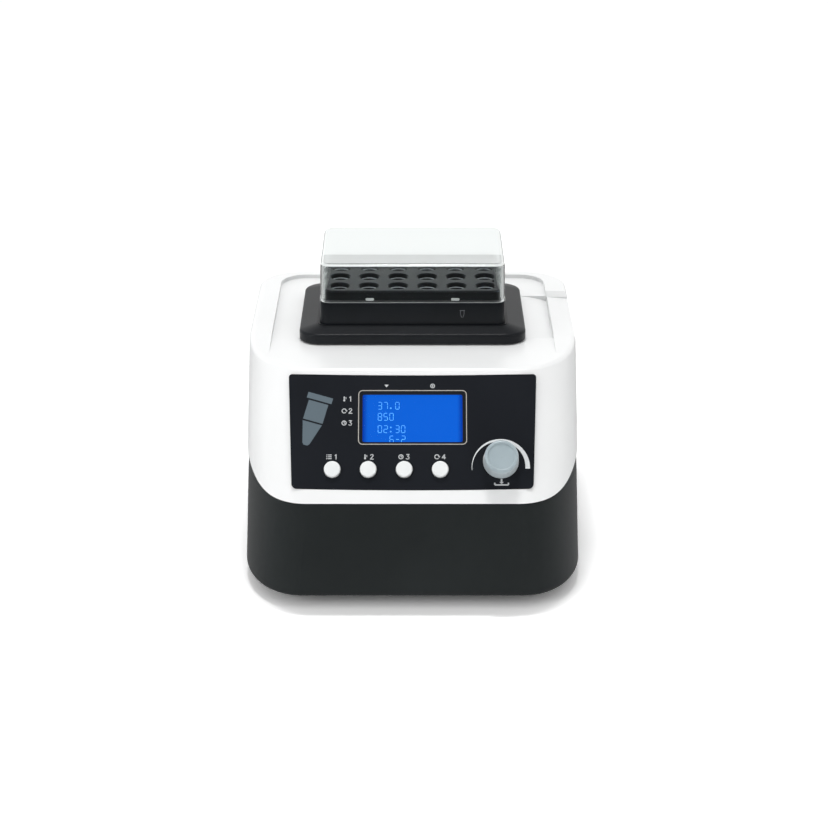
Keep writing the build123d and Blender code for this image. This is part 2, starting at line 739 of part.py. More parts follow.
for number, place in enumerate(guide_places, 1):
    with BuildPart() as guide_crank:
        with BuildSketch(Plane.XY.offset(guide_pillar_top - guide_bearing_width - 1)):
            with Locations(place):
                Circle(guide_pin_diameter / 2)
        extrude(amount=guide_bearing_width + 2)
        with BuildSketch(Plane.XY.offset(guide_pillar_top + 1)):
            with Locations((place[0], place[1] + orbit_radius / 2)):
                Circle(guide_pin_diameter / 2 + orbit_radius + 2.5)
        extrude(amount=table_level - guide_pillar_top - 2.5)
        with BuildSketch(Plane.XY.offset(table_level - 1.5)):
            with Locations((place[0], place[1] + orbit_radius)):
                Circle(guide_pin_diameter / 2)
        extrude(amount=guide_bearing_width + 2)
    guide_crank.part.label = f"guide_crank_{number}"
    export_step(guide_crank.part, f"parts/guide_crank_{number}.step")

# The platform that orbits: table, heater, block
table_top = table_level + table_thickness
upper_guide_places = [(x, y + orbit_radius) for x, y in guide_places]
block_screw_places = [
    (x, platform_centre_y + y)
    for x in (-2 * tube_spacing, 2 * tube_spacing)
    for y in (-tube_spacing, tube_spacing)
]
block_screw_diameter = 5.0
block_screw_head = 4.0

with BuildPart() as shaking_table:
    with BuildSketch(Plane.XY.offset(table_level)):
        with Locations(pin_axis):
            RectangleRounded(table_length, table_breadth, 9)
    extrude(amount=table_thickness)
    chamfer(shaking_table.edges().group_by(Axis.Z)[0], 0.8)
    with BuildSketch(Plane.XY.offset(hub_level)):
        with Locations(pin_axis):
            Circle(bearing_diameter / 2 + 5)
    extrude(amount=table_level - hub_level)
    with BuildSketch(Plane.XY.offset(hub_level)):
        with Locations(pin_axis):
            Circle(bearing_diameter / 2 - 1.5)
    extrude(amount=20, mode=Mode.SUBTRACT)
    with BuildSketch(Plane.XY.offset(crank_bearing_level)):
        with Locations(pin_axis):
            Circle(bearing_diameter / 2 + seat)
    extrude(amount=20, mode=Mode.SUBTRACT)
    with BuildSketch(Plane.XY.offset(table_level + 0.5)):
        with Locations(upper_guide_places):
            Circle(guide_bearing_diameter / 2 + seat)
    extrude(amount=20, mode=Mode.SUBTRACT)
    with BuildSketch(Plane.XY.offset(table_level)):
        with Locations(upper_guide_places):
            Circle(guide_bearing_diameter / 2 - 1)
        with Locations(block_screw_places):
            Circle(block_screw_diameter / 2 + seat)
    extrude(amount=20, mode=Mode.SUBTRACT)
    with BuildSketch(Plane.XY.offset(table_level)):
        with Locations(block_screw_places):
            Circle(block_screw_diameter * 0.8 + 0.5)
    extrude(amount=block_screw_head, mode=Mode.SUBTRACT)

with BuildPart() as crank_bearing:
    with Locations(Pos(pin_axis[0], pin_axis[1], crank_bearing_level)):
        add(shaft_bearing)

with BuildPart() as upper_guide_bearings:
    with Locations([Pos(x, y, table_level + 0.5) for x, y in upper_guide_places]):
        add(guide_bearing)

block_screw = make_screw(
    block_screw_diameter,
    block_bottom - table_level - block_screw_head + 11,
    block_screw_diameter * 1.6,
    block_screw_head - 0.3,
)
with BuildPart() as block_screws:
    with Locations([Pos(x, y, table_level + block_screw_head) * upside_down for x, y in block_screw_places]):
        add(block_screw)

with BuildPart() as insulation_board:
    with BuildSketch(Plane.XY.offset(insulation_level)):
        with Locations(pin_axis):
            RectangleRounded(foot_length, foot_breadth, block_corner)
        with Locations(block_screw_places):
            Circle(block_screw_diameter / 2 + seat, mode=Mode.SUBTRACT)
    extrude(amount=insulation_thickness)

with BuildPart() as heater_pad:
    with BuildSketch(Plane.XY.offset(heater_pad_level)):
        with Locations(pin_axis):
            RectangleRounded(foot_length - 4, foot_breadth - 4, block_corner)
        with Locations(block_screw_places):
            Circle(block_screw_diameter / 2 + seat, mode=Mode.SUBTRACT)
    extrude(amount=heater_pad_thickness)

sensor_diameter = 3.2
sensor_length = 20.0
sensor_place = (18.0, heating_plate_level + heating_plate_thickness / 2)
plate_rear_y = platform_centre_y + foot_breadth / 2
with BuildPart() as heating_plate:
    with BuildSketch(Plane.XY.offset(heating_plate_level)):
        with Locations(pin_axis):
            RectangleRounded(foot_length, foot_breadth, block_corner)
        with Locations(block_screw_places):
            Circle(block_screw_diameter / 2 + seat, mode=Mode.SUBTRACT)
    extrude(amount=heating_plate_thickness)
    with BuildSketch(Plane.XZ.offset(-plate_rear_y)):
        with Locations(sensor_place):
            Circle(sensor_diameter / 2 + seat)
    extrude(amount=sensor_length, mode=Mode.SUBTRACT)

with BuildPart() as temperature_sensor:
    with BuildSketch(Plane.XZ.offset(-plate_rear_y)):
        with Locations(sensor_place):
            Circle(sensor_diameter / 2)
    extrude(amount=sensor_length)

skirt_corner = 13.0
with BuildPart() as platform_skirt:
    with BuildSketch(Plane.XY.offset(skirt_foot_level)):
        with Locations(pin_axis):
            RectangleRounded(skirt_length, skirt_breadth, skirt_corner)
    extrude(amount=skirt_wall_height)
    with BuildSketch(Plane.XY.offset(skirt_edge_level)):
        with Locations(pin_axis):
            RectangleRounded(skirt_length, skirt_breadth, skirt_corner)
    with BuildSketch(Plane.XY.offset(skirt_top_level)):
        with Locations(pin_axis):
            RectangleRounded(collar_length + 1, collar_breadth + 1, block_corner + 2)
    loft(ruled=True)
    fillet(platform_skirt.edges().filter_by_position(Axis.Z, skirt_edge_level - 0.1, skirt_edge_level + 0.1), 1.6)
    with BuildSketch(Plane.XY.offset(skirt_foot_level)):
        with Locations(pin_axis):
            RectangleRounded(skirt_length - 2 * skirt_wall, skirt_breadth - 2 * skirt_wall, skirt_corner - skirt_wall)
            RectangleRounded(collar_length, collar_breadth, block_corner + 1.5, mode=Mode.SUBTRACT)
    extrude(amount=skirt_wall_height - skirt_wall, mode=Mode.SUBTRACT)
    with BuildSketch(Plane.XY.offset(table_top)):
        with Locations(pin_axis):
            RectangleRounded(collar_length, collar_breadth, block_corner + 1.5)
    extrude(amount=skirt_top_level + 0.5 - table_top)
    with BuildSketch(Plane.XY.offset(table_top)):
        with Locations(pin_axis):
            RectangleRounded(foot_length + 0.6, foot_breadth + 0.6, block_corner + 0.3)
    extrude(amount=60, mode=Mode.SUBTRACT)

with BuildPart() as tube_well:
    with BuildSketch(Plane.XZ):
        with BuildLine():
            Polyline(
                (0, 0.1),
                (tube_mouth / 2 + 0.5, 0.1),
                (tube_mouth / 2, -0.4),
                (tube_mouth / 2, -tube_mouth_depth),
                (tube_bore / 2, -tube_mouth_depth - 0.3),
                (tube_bore / 2, -tube_depth * 0.78),
                (tube_bore * 0.22, -tube_depth),
                (0, -tube_depth),
                (0, 0.1),
            )
        make_face()
    revolve(axis=Axis.Z)

detent_x = 26.2
detent_length = 5.2
detent_height = 1.6
with BuildPart() as tube_block:
    with BuildSketch(Plane.XY.offset(block_bottom)):
        with Locations(pin_axis):
            RectangleRounded(foot_length, foot_breadth, block_corner)
    extrude(amount=block_height - block_step)
    chamfer(tube_block.faces().sort_by(Axis.Z)[-1].edges(), 0.5)
    with BuildSketch(Plane.XY.offset(block_ledge_level)):
        with Locations(pin_axis):
            RectangleRounded(block_length, block_breadth, block_corner)
    extrude(amount=block_step)
    chamfer(tube_block.faces().sort_by(Axis.Z)[-1].edges(), 0.8)
    with Locations(Pos(pin_axis[0], pin_axis[1], block_top)):
        with GridLocations(tube_spacing, tube_spacing, tube_columns, tube_rows):
            add(tube_well.part, mode=Mode.SUBTRACT)
    with BuildSketch(Plane.XY.offset(block_top)):
        with Locations((block_length / 2 - 3.6, platform_centre_y - (tube_rows / 2 - 1) * tube_spacing)):
            Circle(1.3)
    extrude(amount=-18, mode=Mode.SUBTRACT)
    with BuildSketch(Plane.XY.offset(block_bottom)):
        with Locations(block_screw_places):
            Circle(block_screw_diameter / 2 + seat)
    extrude(amount=12, mode=Mode.SUBTRACT)
    with BuildSketch(Plane.XZ.offset(block_breadth / 2 - platform_centre_y)):
        with Locations((0, block_ledge_level + detent_height)):
            with GridLocations(2 * detent_x, 0, 2, 1):
                SlotOverall(detent_length, detent_height)
    extrude(amount=-2, mode=Mode.SUBTRACT)

with BuildPart() as lid_detents:
    with BuildSketch(Plane.XZ.offset(block_breadth / 2 - platform_centre_y - 2)):
        with Locations((0, block_ledge_level + detent_height)):
            with GridLocations(2 * detent_x, 0, 2, 1):
                SlotOverall(detent_length - 2 * seat, detent_height - 2 * seat)
    extrude(amount=2.5)

lid_rim_level = block_ledge_level + seat
lid_length = block_length + 2 * (lid_play + lid_wall)
lid_breadth = block_breadth + 2 * (lid_play + lid_wall)
lid_corner = block_corner + 1.5
lid_taper = 2 * lid_draft
with BuildPart() as lid:
    with BuildSketch(Plane.XY.offset(lid_rim_level)):
        with Locations(pin_axis):
            RectangleRounded(lid_length, lid_breadth, lid_corner)
    with BuildSketch(Plane.XY.offset(lid_rim_level + lid_height)):
        with Locations(pin_axis):
            RectangleRounded(lid_length - lid_taper, lid_breadth - lid_taper, lid_corner - lid_draft / 2)
    loft(ruled=True)
    fillet(lid.faces().sort_by(Axis.Z)[-1].edges(), 2.6)
    with BuildSketch(Plane.XY.offset(lid_rim_level)):
        with Locations(pin_axis):
            RectangleRounded(lid_length + 0.5, lid_breadth + 0.5, lid_corner)
    extrude(amount=1.2)
    with BuildSketch(Plane.XY.offset(lid_rim_level)):
        with Locations(pin_axis):
            RectangleRounded(lid_length - 2 * lid_wall, lid_breadth - 2 * lid_wall, lid_corner - 1.5)
    with BuildSketch(Plane.XY.offset(lid_rim_level + lid_height - lid_wall)):
        with Locations(pin_axis):
            RectangleRounded(
                lid_length - lid_taper - 2 * lid_wall,
                lid_breadth - lid_taper - 2 * lid_wall,
                lid_corner - lid_draft / 2 - 1.5,
            )
    loft(ruled=True, mode=Mode.SUBTRACT)

# Controls on the leaning panel; depths are measured outwards from the casing's face
overlay_face = 0.2
board_face = -board_depth
board_centre_up = (post_low_up + post_high_up) / 2
post_rise = post_high_up - post_low_up
buttons_x = button_first_x + 1.5 * button_spacing


def panel_point(across, up, out):
    """Return the point at a place on the panel and a distance out from its face."""
    return panel_plane.from_local_coords((across, up, out))


with BuildPart() as panel_overlay:
    with BuildSketch(panel_plane.offset(overlay_face - overlay_thickness)):
        overlay_outline(0)
        with Locations((0, display_centre_up)):
            RectangleRounded(window_width, window_height, 1.0, mode=Mode.SUBTRACT)
        with Locations((buttons_x, button_up)):
            with GridLocations(button_spacing, 0, 4, 1):
                Circle(button_diameter / 2 + 0.3, mode=Mode.SUBTRACT)
        with Locations((knob_x, knob_up)):
            Circle(3.7, mode=Mode.SUBTRACT)
    extrude(amount=overlay_thickness)

with BuildPart() as display_window:
    with BuildSketch(panel_plane.offset(seat - wall)):
        with Locations((0, display_centre_up)):
            RectangleRounded(window_width + 2.8, window_height + 2.8, 1.4)
    extrude(amount=wall - 2 * seat - overlay_thickness + overlay_face)
    with BuildSketch(panel_plane.offset(-1)):
        with Locations((0, display_centre_up)):
            RectangleRounded(window_width - 0.1, window_height - 0.1, 1.0)
    extrude(amount=1 + overlay_face)

module_face = -wall
with BuildPart() as display_module:
    with BuildSketch(panel_plane.offset(module_face)):
        with Locations((0, display_centre_up)):
            Rectangle(window_width + 13, window_height + 9)
    extrude(amount=-7)
    with BuildSketch(panel_plane.offset(module_face - 7)):
        with Locations((0, display_centre_up)):
            with GridLocations(window_width + 6, window_height + 2, 2, 2):
                Circle(2)
    extrude(amount=board_face - module_face + 7)
    with BuildSketch(panel_plane.offset(module_face)):
        with Locations((0, display_centre_up)):
            Rectangle(window_width + 1.2, window_height + 1.2)
    extrude(amount=-1.3, mode=Mode.SUBTRACT)

with BuildPart() as display_glass:
    with BuildSketch(panel_plane.offset(module_face)):
        with Locations((0, display_centre_up)):
            Rectangle(window_width + 1.1, window_height + 1.1)
    extrude(amount=-1.25)

with BuildPart() as control_board:
    with BuildSketch(panel_plane.offset(board_face)):
        with Locations((0, board_centre_up)):
            RectangleRounded(2 * post_spread_x + 10, post_rise + 9, 2)
            with GridLocations(2 * post_spread_x, post_rise, 2, 2):
                Circle(1.25 + seat, mode=Mode.SUBTRACT)
    extrude(amount=-board_thickness)
    with BuildSketch(panel_plane.offset(board_face - board_thickness)):
        with Locations((-20, board_centre_up)):
            Rectangle(14, 14)
        with Locations((24, board_centre_up + 14)):
            Rectangle(22, 6)
    extrude(amount=-3)

with BuildPart() as button_switches:
    with BuildSketch(panel_plane.offset(board_face)):
        with Locations((buttons_x, button_up)):
            with GridLocations(button_spacing, 0, 4, 1):
                Rectangle(6, 6)
    extrude(amount=3.5)
    with BuildSketch(panel_plane.offset(board_face + 3.5)):
        with Locations((buttons_x, button_up)):
            with GridLocations(button_spacing, 0, 4, 1):
                Circle(1.75)
    extrude(amount=1.3)

button_face = overlay_face + button_proud
for number in range(1, 5):
    place_x = button_first_x + (number - 1) * button_spacing
    with BuildPart() as button:
        with BuildSketch(panel_plane.offset(-wall - 0.4)):
            with Locations((place_x, button_up)):
                Circle(button_diameter / 2)
        extrude(amount=button_face + wall + 0.4)
        rim = button.edges().sort_by(Axis(panel_point(place_x, button_up, 0), lean_normal))[-1]
        fillet(rim, 0.9)
        with BuildSketch(panel_plane.offset(-wall - 0.4)):
            with Locations((place_x, button_up)):
                Circle(button_diameter / 2 + 1.2)
        extrude(amount=-1.2)
        with BuildSketch(panel_plane.offset(board_face + 4.8 + button_travel + 0.2)):
            with Locations((place_x, button_up)):
                Circle(2)
        extrude(amount=board_depth - wall - 0.4 - 4.8 - button_travel - 0.2)
    button.part.label = f"button_{number}"
    export_step(button.part, f"parts/button_{number}.step")

encoder_top = -7.5
plunger_face = encoder_top - 0.3
with BuildPart() as encoder_body:
    with BuildSketch(panel_plane.offset(board_face)):
        with Locations((knob_x, knob_up)):
            Rectangle(12, 12)
    extrude(amount=encoder_top - board_face)
    with BuildSketch(panel_plane.offset(encoder_top)):
        with Locations((knob_x, knob_up)):
            Circle(3.5)
    extrude(amount=2.6 - encoder_top)
    with BuildSketch(panel_plane.offset(board_face + 1.5)):
        with Locations((knob_x, knob_up)):
            Circle(4.4)
    extrude(amount=encoder_top - board_face - 1.5 - 0.2, mode=Mode.SUBTRACT)
    with BuildSketch(panel_plane.offset(board_face + 1.5)):
        with Locations((knob_x, knob_up)):
            Circle(encoder_shaft_diameter / 2 + running_clearance)
    extrude(amount=20, mode=Mode.SUBTRACT)

with BuildPart() as encoder_plunger:
    with BuildSketch(panel_plane.offset(plunger_face)):
        with Locations((knob_x, knob_up)):
            Circle(4.1)
    extrude(amount=-2)

with BuildPart() as encoder_nut:
    with BuildSketch(panel_plane.offset(overlay_face)):
        with Locations((knob_x, knob_up)):
            RegularPolygon(5.8, 6)
            Circle(3.5 + seat, mode=Mode.SUBTRACT)
    extrude(amount=2)

knob_foot = overlay_face + knob_lift
knob_face = knob_foot + knob_height
shaft_tip = knob_face - 3
flat_level = encoder_shaft_diameter / 2 - 1.5
with BuildPart() as encoder_shaft:
    with BuildSketch(panel_plane.offset(plunger_face + seat)):
        with Locations((knob_x, knob_up)):
            Circle(encoder_shaft_diameter / 2)
    extrude(amount=shaft_tip - plunger_face - seat)
    with BuildSketch(panel_plane.offset(shaft_tip - 7)):
        with Locations((knob_x, knob_up + flat_level + 5)):
            Rectangle(10, 10)
    extrude(amount=10, mode=Mode.SUBTRACT)

knob_section = Plane(
    origin=panel_point(knob_x, knob_up, 0),
    x_dir=(1, 0, 0),
    z_dir=panel_plane.y_dir * -1,
)
knob_radius = knob_diameter / 2
dish_rim = knob_radius - 2.4
dish_edge = knob_face - 0.1
dish_reach = dish_rim - 0.5
dish_depth = 0.5
dish_curve = (dish_reach**2 + dish_depth**2) / (2 * dish_depth)
dish_floor = dish_edge - 0.8 - dish_depth
dish_middle = dish_floor + dish_curve - sqrt(dish_curve**2 - dish_reach**2 / 4)
with BuildPart() as knob:
    with BuildSketch(knob_section):
        with BuildLine():
            Polyline(
                (encoder_shaft_diameter / 2 + 2, 3.4),
                (encoder_shaft_diameter / 2 + 2, knob_foot + 6),
                (knob_radius - 2.4, knob_foot + 6),
                (knob_radius - 2.0, knob_foot),
                (knob_radius, knob_foot),
                (knob_radius - 0.6, knob_face - 1.8),
            )
            ThreePointArc(
                (knob_radius - 0.6, knob_face - 1.8),
                (knob_radius - 0.98, knob_face - 0.62),
                (knob_radius - 2.0, knob_face),
            )
            Polyline(
                (knob_radius - 2.0, knob_face),
                (dish_rim, dish_edge),
                (dish_reach, dish_edge - 0.8),
            )
            ThreePointArc((dish_reach, dish_edge - 0.8), (dish_reach / 2, dish_middle), (0, dish_floor))
            Polyline((0, dish_floor), (0, 3.4), (encoder_shaft_diameter / 2 + 2, 3.4))
        make_face()
    revolve(axis=Axis(panel_point(knob_x, knob_up, 0), lean_normal))
    with BuildSketch(panel_plane.offset(3)):
        with Locations((knob_x, knob_up)):
            Circle(encoder_shaft_diameter / 2 + seat)
    extrude(amount=shaft_tip - 7 - 3, mode=Mode.SUBTRACT)
    with BuildSketch(panel_plane.offset(shaft_tip - 7)):
        with Locations((knob_x, knob_up)):
            Circle(encoder_shaft_diameter / 2 + seat)
        with Locations((knob_x, knob_up + flat_level + seat + 5)):
            Rectangle(10, 10, mode=Mode.SUBTRACT)
    extrude(amount=7 + seat, mode=Mode.SUBTRACT)

board_screw = make_screw(2.5, 7, 4.6, 1.6)
power_board_level = floor_level + power_board_post
with BuildPart() as board_screws:
    with Locations(
        [
            Location(panel_plane) * Pos(x, board_centre_up + up, board_face - board_thickness) * upside_down
            for x in (-post_spread_x, post_spread_x)
            for up in (-post_rise / 2, post_rise / 2)
        ]
    ):
        add(board_screw)
    with Locations(Pos(power_board_place[0], power_board_place[1], power_board_level + board_thickness)):
        with GridLocations(*board_holes):
            add(board_screw)

with BuildPart() as power_board:
    with BuildSketch(Plane.XY.offset(power_board_level)):
        with Locations(power_board_place):
            RectangleRounded(power_board_width, power_board_length, 2)
            with GridLocations(*board_holes):
                Circle(1.25 + seat, mode=Mode.SUBTRACT)
    extrude(amount=board_thickness)
    with BuildSketch(Plane.XY.offset(power_board_level + board_thickness)):
        with Locations((power_board_place[0] + 2, power_board_place[1] + 18)):
            Rectangle(26, 24)
    extrude(amount=19)
    with BuildSketch(Plane.XY.offset(power_board_level + board_thickness)):
        with Locations((power_board_place[0], power_board_place[1] - 12)):
            with GridLocations(14, 16, 2, 2):
                Circle(5)
    extrude(amount=15)

inlet_face_y = rear_face_y + 2
with BuildPart() as power_inlet:
    with BuildSketch(Plane.XZ.offset(-inlet_face_y)):
        with Locations((inlet_x, inlet_height)):
            RectangleRounded(inlet_length, inlet_breadth, 4)
            with GridLocations(40, 0, 2, 1):
                Circle(1.6, mode=Mode.SUBTRACT)
    extrude(amount=2)
    with BuildSketch(Plane.XZ.offset(-rear_face_y)):
        with Locations((inlet_x, inlet_height)):
            Rectangle(27.2, 20.2)
    extrude(amount=18)
    with BuildSketch(Plane.XZ.offset(-inlet_face_y)):
        with Locations((inlet_x, inlet_height)):
            Polygon(
                (-12, -8.2), (12, -8.2), (12, 3.5), (7.5, 8.2), (-7.5, 8.2), (-12, 3.5), align=None
            )
    extrude(amount=16, mode=Mode.SUBTRACT)
    with BuildSketch(Plane.XZ.offset(-inlet_face_y + 5.5)):
        with Locations((inlet_x, inlet_height + 2)):
            Rectangle(2, 4)
        with Locations((inlet_x, inlet_height - 2)):
            with GridLocations(14, 0, 2, 1):
                Rectangle(2, 4)
    extrude(amount=11.5)

inlet_screw = make_screw(3, 8, 5.4, 1.0)
with BuildPart() as inlet_screws:
    with Locations(
        [Pos(inlet_x + side * 20, inlet_face_y, inlet_height) * Rot(-90, 0, 0) for side in (-1, 1)]
    ):
        add(inlet_screw)

with BuildPart() as rocker_frame:
    with BuildSketch(Plane.XZ.offset(-inlet_face_y)):
        with Locations((rocker_x, inlet_height)):
            RectangleRounded(rocker_breadth, rocker_length, 1)
    extrude(amount=2)
    with BuildSketch(Plane.XZ.offset(-rear_face_y)):
        with Locations((rocker_x, inlet_height)):
            Rectangle(rocker_breadth - 1.8, rocker_length - 3.2)
    extrude(amount=18)
    with BuildSketch(Plane.XZ.offset(-inlet_face_y)):
        with Locations((rocker_x, inlet_height)):
            Rectangle(rocker_breadth - 4.4, rocker_length - 8)
    extrude(amount=16, mode=Mode.SUBTRACT)

rocker_pivot_y = rear_face_y - 6.5
rocker_reach = rocker_length / 2 - 5.4
with BuildPart() as power_rocker:
    with BuildSketch(Plane.YZ.offset(rocker_x - (rocker_breadth - 4.8) / 2)):
        with Locations(Location((rocker_pivot_y, inlet_height), rocker_tilt)):
            Polygon(
                (-2.5, -6),
                (8, -rocker_reach),
                (5.4, 0),
                (8, rocker_reach),
                (-2.5, 6),
                align=None,
            )
    extrude(amount=rocker_breadth - 4.8)

pieces = {
    "lower_casing": lower_casing,
    "upper_casing": upper_casing,
    "casing_screws": casing_screws,
    "foot_screws": foot_screws,
    "chassis_screws": chassis_screws,
    "chassis_pillars": chassis_pillars,
    "chassis_plate": chassis_plate,
    "drive_motor": drive_motor,
    "drive_screws": drive_screws,
    "bearing_housing": bearing_housing,
    "shaft_bearings": shaft_bearings,
    "lower_guide_bearings": lower_guide_bearings,
    "eccentric_shaft": eccentric_shaft,
    "counterweight": counterweight,
    "counterweight_screw": counterweight_screw,
    "shaking_table": shaking_table,
    "crank_bearing": crank_bearing,
    "upper_guide_bearings": upper_guide_bearings,
    "block_screws": block_screws,
    "insulation_board": insulation_board,
    "heater_pad": heater_pad,
    "heating_plate": heating_plate,
    "temperature_sensor": temperature_sensor,
    "platform_skirt": platform_skirt,
    "tube_block": tube_block,
    "lid_detents": lid_detents,
    "lid": lid,
    "panel_overlay": panel_overlay,
    "display_window": display_window,
    "display_module": display_module,
    "display_glass": display_glass,
    "control_board": control_board,
    "button_switches": button_switches,
    "encoder_body": encoder_body,
    "encoder_plunger": encoder_plunger,
    "encoder_nut": encoder_nut,
    "encoder_shaft": encoder_shaft,
    "knob": knob,
    "board_screws": board_screws,
    "power_board": power_board,
    "power_inlet": power_inlet,
    "inlet_screws": inlet_screws,
    "rocker_frame": rocker_frame,
    "power_rocker": power_rocker,
}
for node_name, piece in pieces.items():
    piece.part.label = node_name
    export_step(piece.part, f"parts/{node_name}.step")
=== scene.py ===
"""Looks of the microtube shaker: finishes, printing, fittings and studio light over the CAD frame."""

import logging
from collections.abc import Sequence
from dataclasses import dataclass, field
from enum import Enum
from math import ceil, cos, hypot, pi, radians, sin
from typing import Any

import bmesh
import bpy
from mathutils import Matrix, Vector


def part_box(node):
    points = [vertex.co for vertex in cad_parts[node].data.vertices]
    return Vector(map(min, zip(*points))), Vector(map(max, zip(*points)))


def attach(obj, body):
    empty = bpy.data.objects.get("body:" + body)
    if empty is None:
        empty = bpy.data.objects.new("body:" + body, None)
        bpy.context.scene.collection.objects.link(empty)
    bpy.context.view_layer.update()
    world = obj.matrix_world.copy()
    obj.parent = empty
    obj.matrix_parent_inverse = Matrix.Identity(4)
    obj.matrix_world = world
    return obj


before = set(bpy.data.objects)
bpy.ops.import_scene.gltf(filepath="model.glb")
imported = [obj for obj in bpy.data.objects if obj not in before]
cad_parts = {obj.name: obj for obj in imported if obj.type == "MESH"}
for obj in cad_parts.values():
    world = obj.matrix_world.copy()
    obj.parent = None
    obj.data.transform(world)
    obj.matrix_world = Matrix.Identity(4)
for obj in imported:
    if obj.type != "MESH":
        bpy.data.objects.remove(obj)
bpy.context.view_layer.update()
log = logging.getLogger("microtube_shaker")

MM = 0.001
Point = tuple[float, float]
Place = tuple[float, float, float]
Colour = tuple[float, float, float, float]

WHITE: Colour = (1.0, 1.0, 1.0, 1.0)
# At a scale of one, the wave texture draws a band every 0.314 m.
WAVE_BAND_M = 0.314
# A disc of ink has this many corners for each millimetre of radius, and never fewer than the least.
DISC_CORNERS_PER_MM = 12
DISC_CORNERS_LEAST = 16


class Slot(Enum):
    """The record's material slots that are passed along with the scene's own pieces."""

    FILM = "overlay_film"
    DISPLAY = "display_light"
    BLOCK = "block_anodised"
    INLET = "inlet_black"
    ROCKER = "rocker_black"


class Body(Enum):
    """The bodies that the scene's own pieces ride on."""

    HOUSING = "housing"
    PLATFORM = "platform"
    ROCKER = "power_rocker"


def linear(code: str) -> Colour:
    """Turn an sRGB hex colour into Blender's linear colour.

    Args:
        code: The colour as six hex digits after a hash.

    Returns:
        Red, green, blue and an alpha of one.
    """
    parts = [int(code[i : i + 2], 16) / 255 for i in (1, 3, 5)]
    red, green, blue = [p / 12.92 if p <= 0.04045 else ((p + 0.055) / 1.055) ** 2.4 for p in parts]
    return red, green, blue, 1.0


def add_node(
    tree: bpy.types.NodeTree,
    kind: str,
    settings: dict[str | int, Any] | None = None,
    links: dict[str | int, bpy.types.NodeSocket] | None = None,
) -> bpy.types.Node:
    """Add a node, give it its settings and feed its sockets.

    Args:
        tree: The node tree that gets the node.
        kind: The node's type name.
        settings: Values by the name or number of an input, or by the name of a property.
        links: Output sockets by the name or number of the input that they feed.

    Returns:
        The new node.
    """
    node = tree.nodes.new(kind)
    for key, value in (settings or {}).items():
        if isinstance(key, int) or key in node.inputs:
            node.inputs[key].default_value = value
        else:
            setattr(node, key, value)
    for key, source in (links or {}).items():
        tree.links.new(source, node.inputs[key])
    return node


@dataclass(frozen=True)
class Finish:
    """A surface as it was made. The base class gives a smooth, evenly coloured one to build on."""

    name: str
    colour: str
    roughness: float
    ior: float = 1.5
    specular: float = 0.5
    metallic: float = 0.0

    def start(self) -> tuple[bpy.types.Material, bpy.types.NodeTree, bpy.types.Node, bpy.types.NodeSocket]:
        """Start the material with its shader and the piece's own coordinates, which are metres.

        Returns:
            The material, its node tree, its main shader and the coordinate output.
        """
        material = bpy.data.materials.new(self.name)
        material.use_nodes = True
        tree = material.node_tree
        tree.nodes.clear()
        settings = {
            "Base Color": linear(self.colour),
            "Roughness": self.roughness,
            "Metallic": self.metallic,
            "Specular IOR Level": self.specular,
        }
        if not self.metallic:
            settings["IOR"] = self.ior
        shader = add_node(tree, "ShaderNodeBsdfPrincipled", settings)
        add_node(tree, "ShaderNodeOutputMaterial", None, {"Surface": shader.outputs[0]})
        place = add_node(tree, "ShaderNodeTexCoord").outputs["Object"]
        material.diffuse_color = linear(self.colour)
        return material, tree, shader, place

    def vary(
        self, tree: bpy.types.NodeTree, shader: bpy.types.Node, source: bpy.types.NodeSocket, change: float
    ) -> None:
        """Let the roughness follow a pattern.

        Args:
            tree: The material's node tree.
            shader: The main shader.
            source: The pattern, from 0 to 1.
            change: How far the roughness goes to each side of the finish's own.
        """
        settings = {"To Min": self.roughness - change, "To Max": self.roughness + change}
        spread = add_node(tree, "ShaderNodeMapRange", settings, {"Value": source})
        tree.links.new(spread.outputs[0], shader.inputs["Roughness"])

    def tint(
        self,
        tree: bpy.types.NodeTree,
        shader: bpy.types.Node,
        source: bpy.types.NodeSocket,
        second: str,
        low: float = 0.35,
        high: float = 0.65,
    ) -> None:
        """Let the colour follow a pattern between the finish's own colour and a second one.

        Args:
            tree: The material's node tree.
            shader: The main shader.
            source: The pattern, from 0 to 1.
            second: The other colour.
            low: The pattern's value where the first colour ends.
            high: The pattern's value where the second colour is full.
        """
        ramp = add_node(tree, "ShaderNodeValToRGB", None, {"Fac": source})
        ramp.color_ramp.elements[0].position = low
        ramp.color_ramp.elements[1].position = high
        ramp.color_ramp.elements[0].color = linear(self.colour)
        ramp.color_ramp.elements[1].color = linear(second)
        tree.links.new(ramp.outputs[0], shader.inputs["Base Color"])

    def emboss(
        self, tree: bpy.types.NodeTree, shader: bpy.types.Node, source: bpy.types.NodeSocket, height_mm: float
    ) -> None:
        """Let the surface rise and fall with a pattern.

        Args:
            tree: The material's node tree.
            shader: The main shader.
            source: The pattern, from 0 to 1.
            height_mm: The pattern's full height.
        """
        relief = {"Distance": height_mm * MM, "Strength": 1.0}
        bump = add_node(tree, "ShaderNodeBump", relief, {"Height": source})
        tree.links.new(bump.outputs[0], shader.inputs["Normal"])

    def build(self) -> bpy.types.Material:
        """Make the material, which is plain in this base class."""
        return self.start()[0]


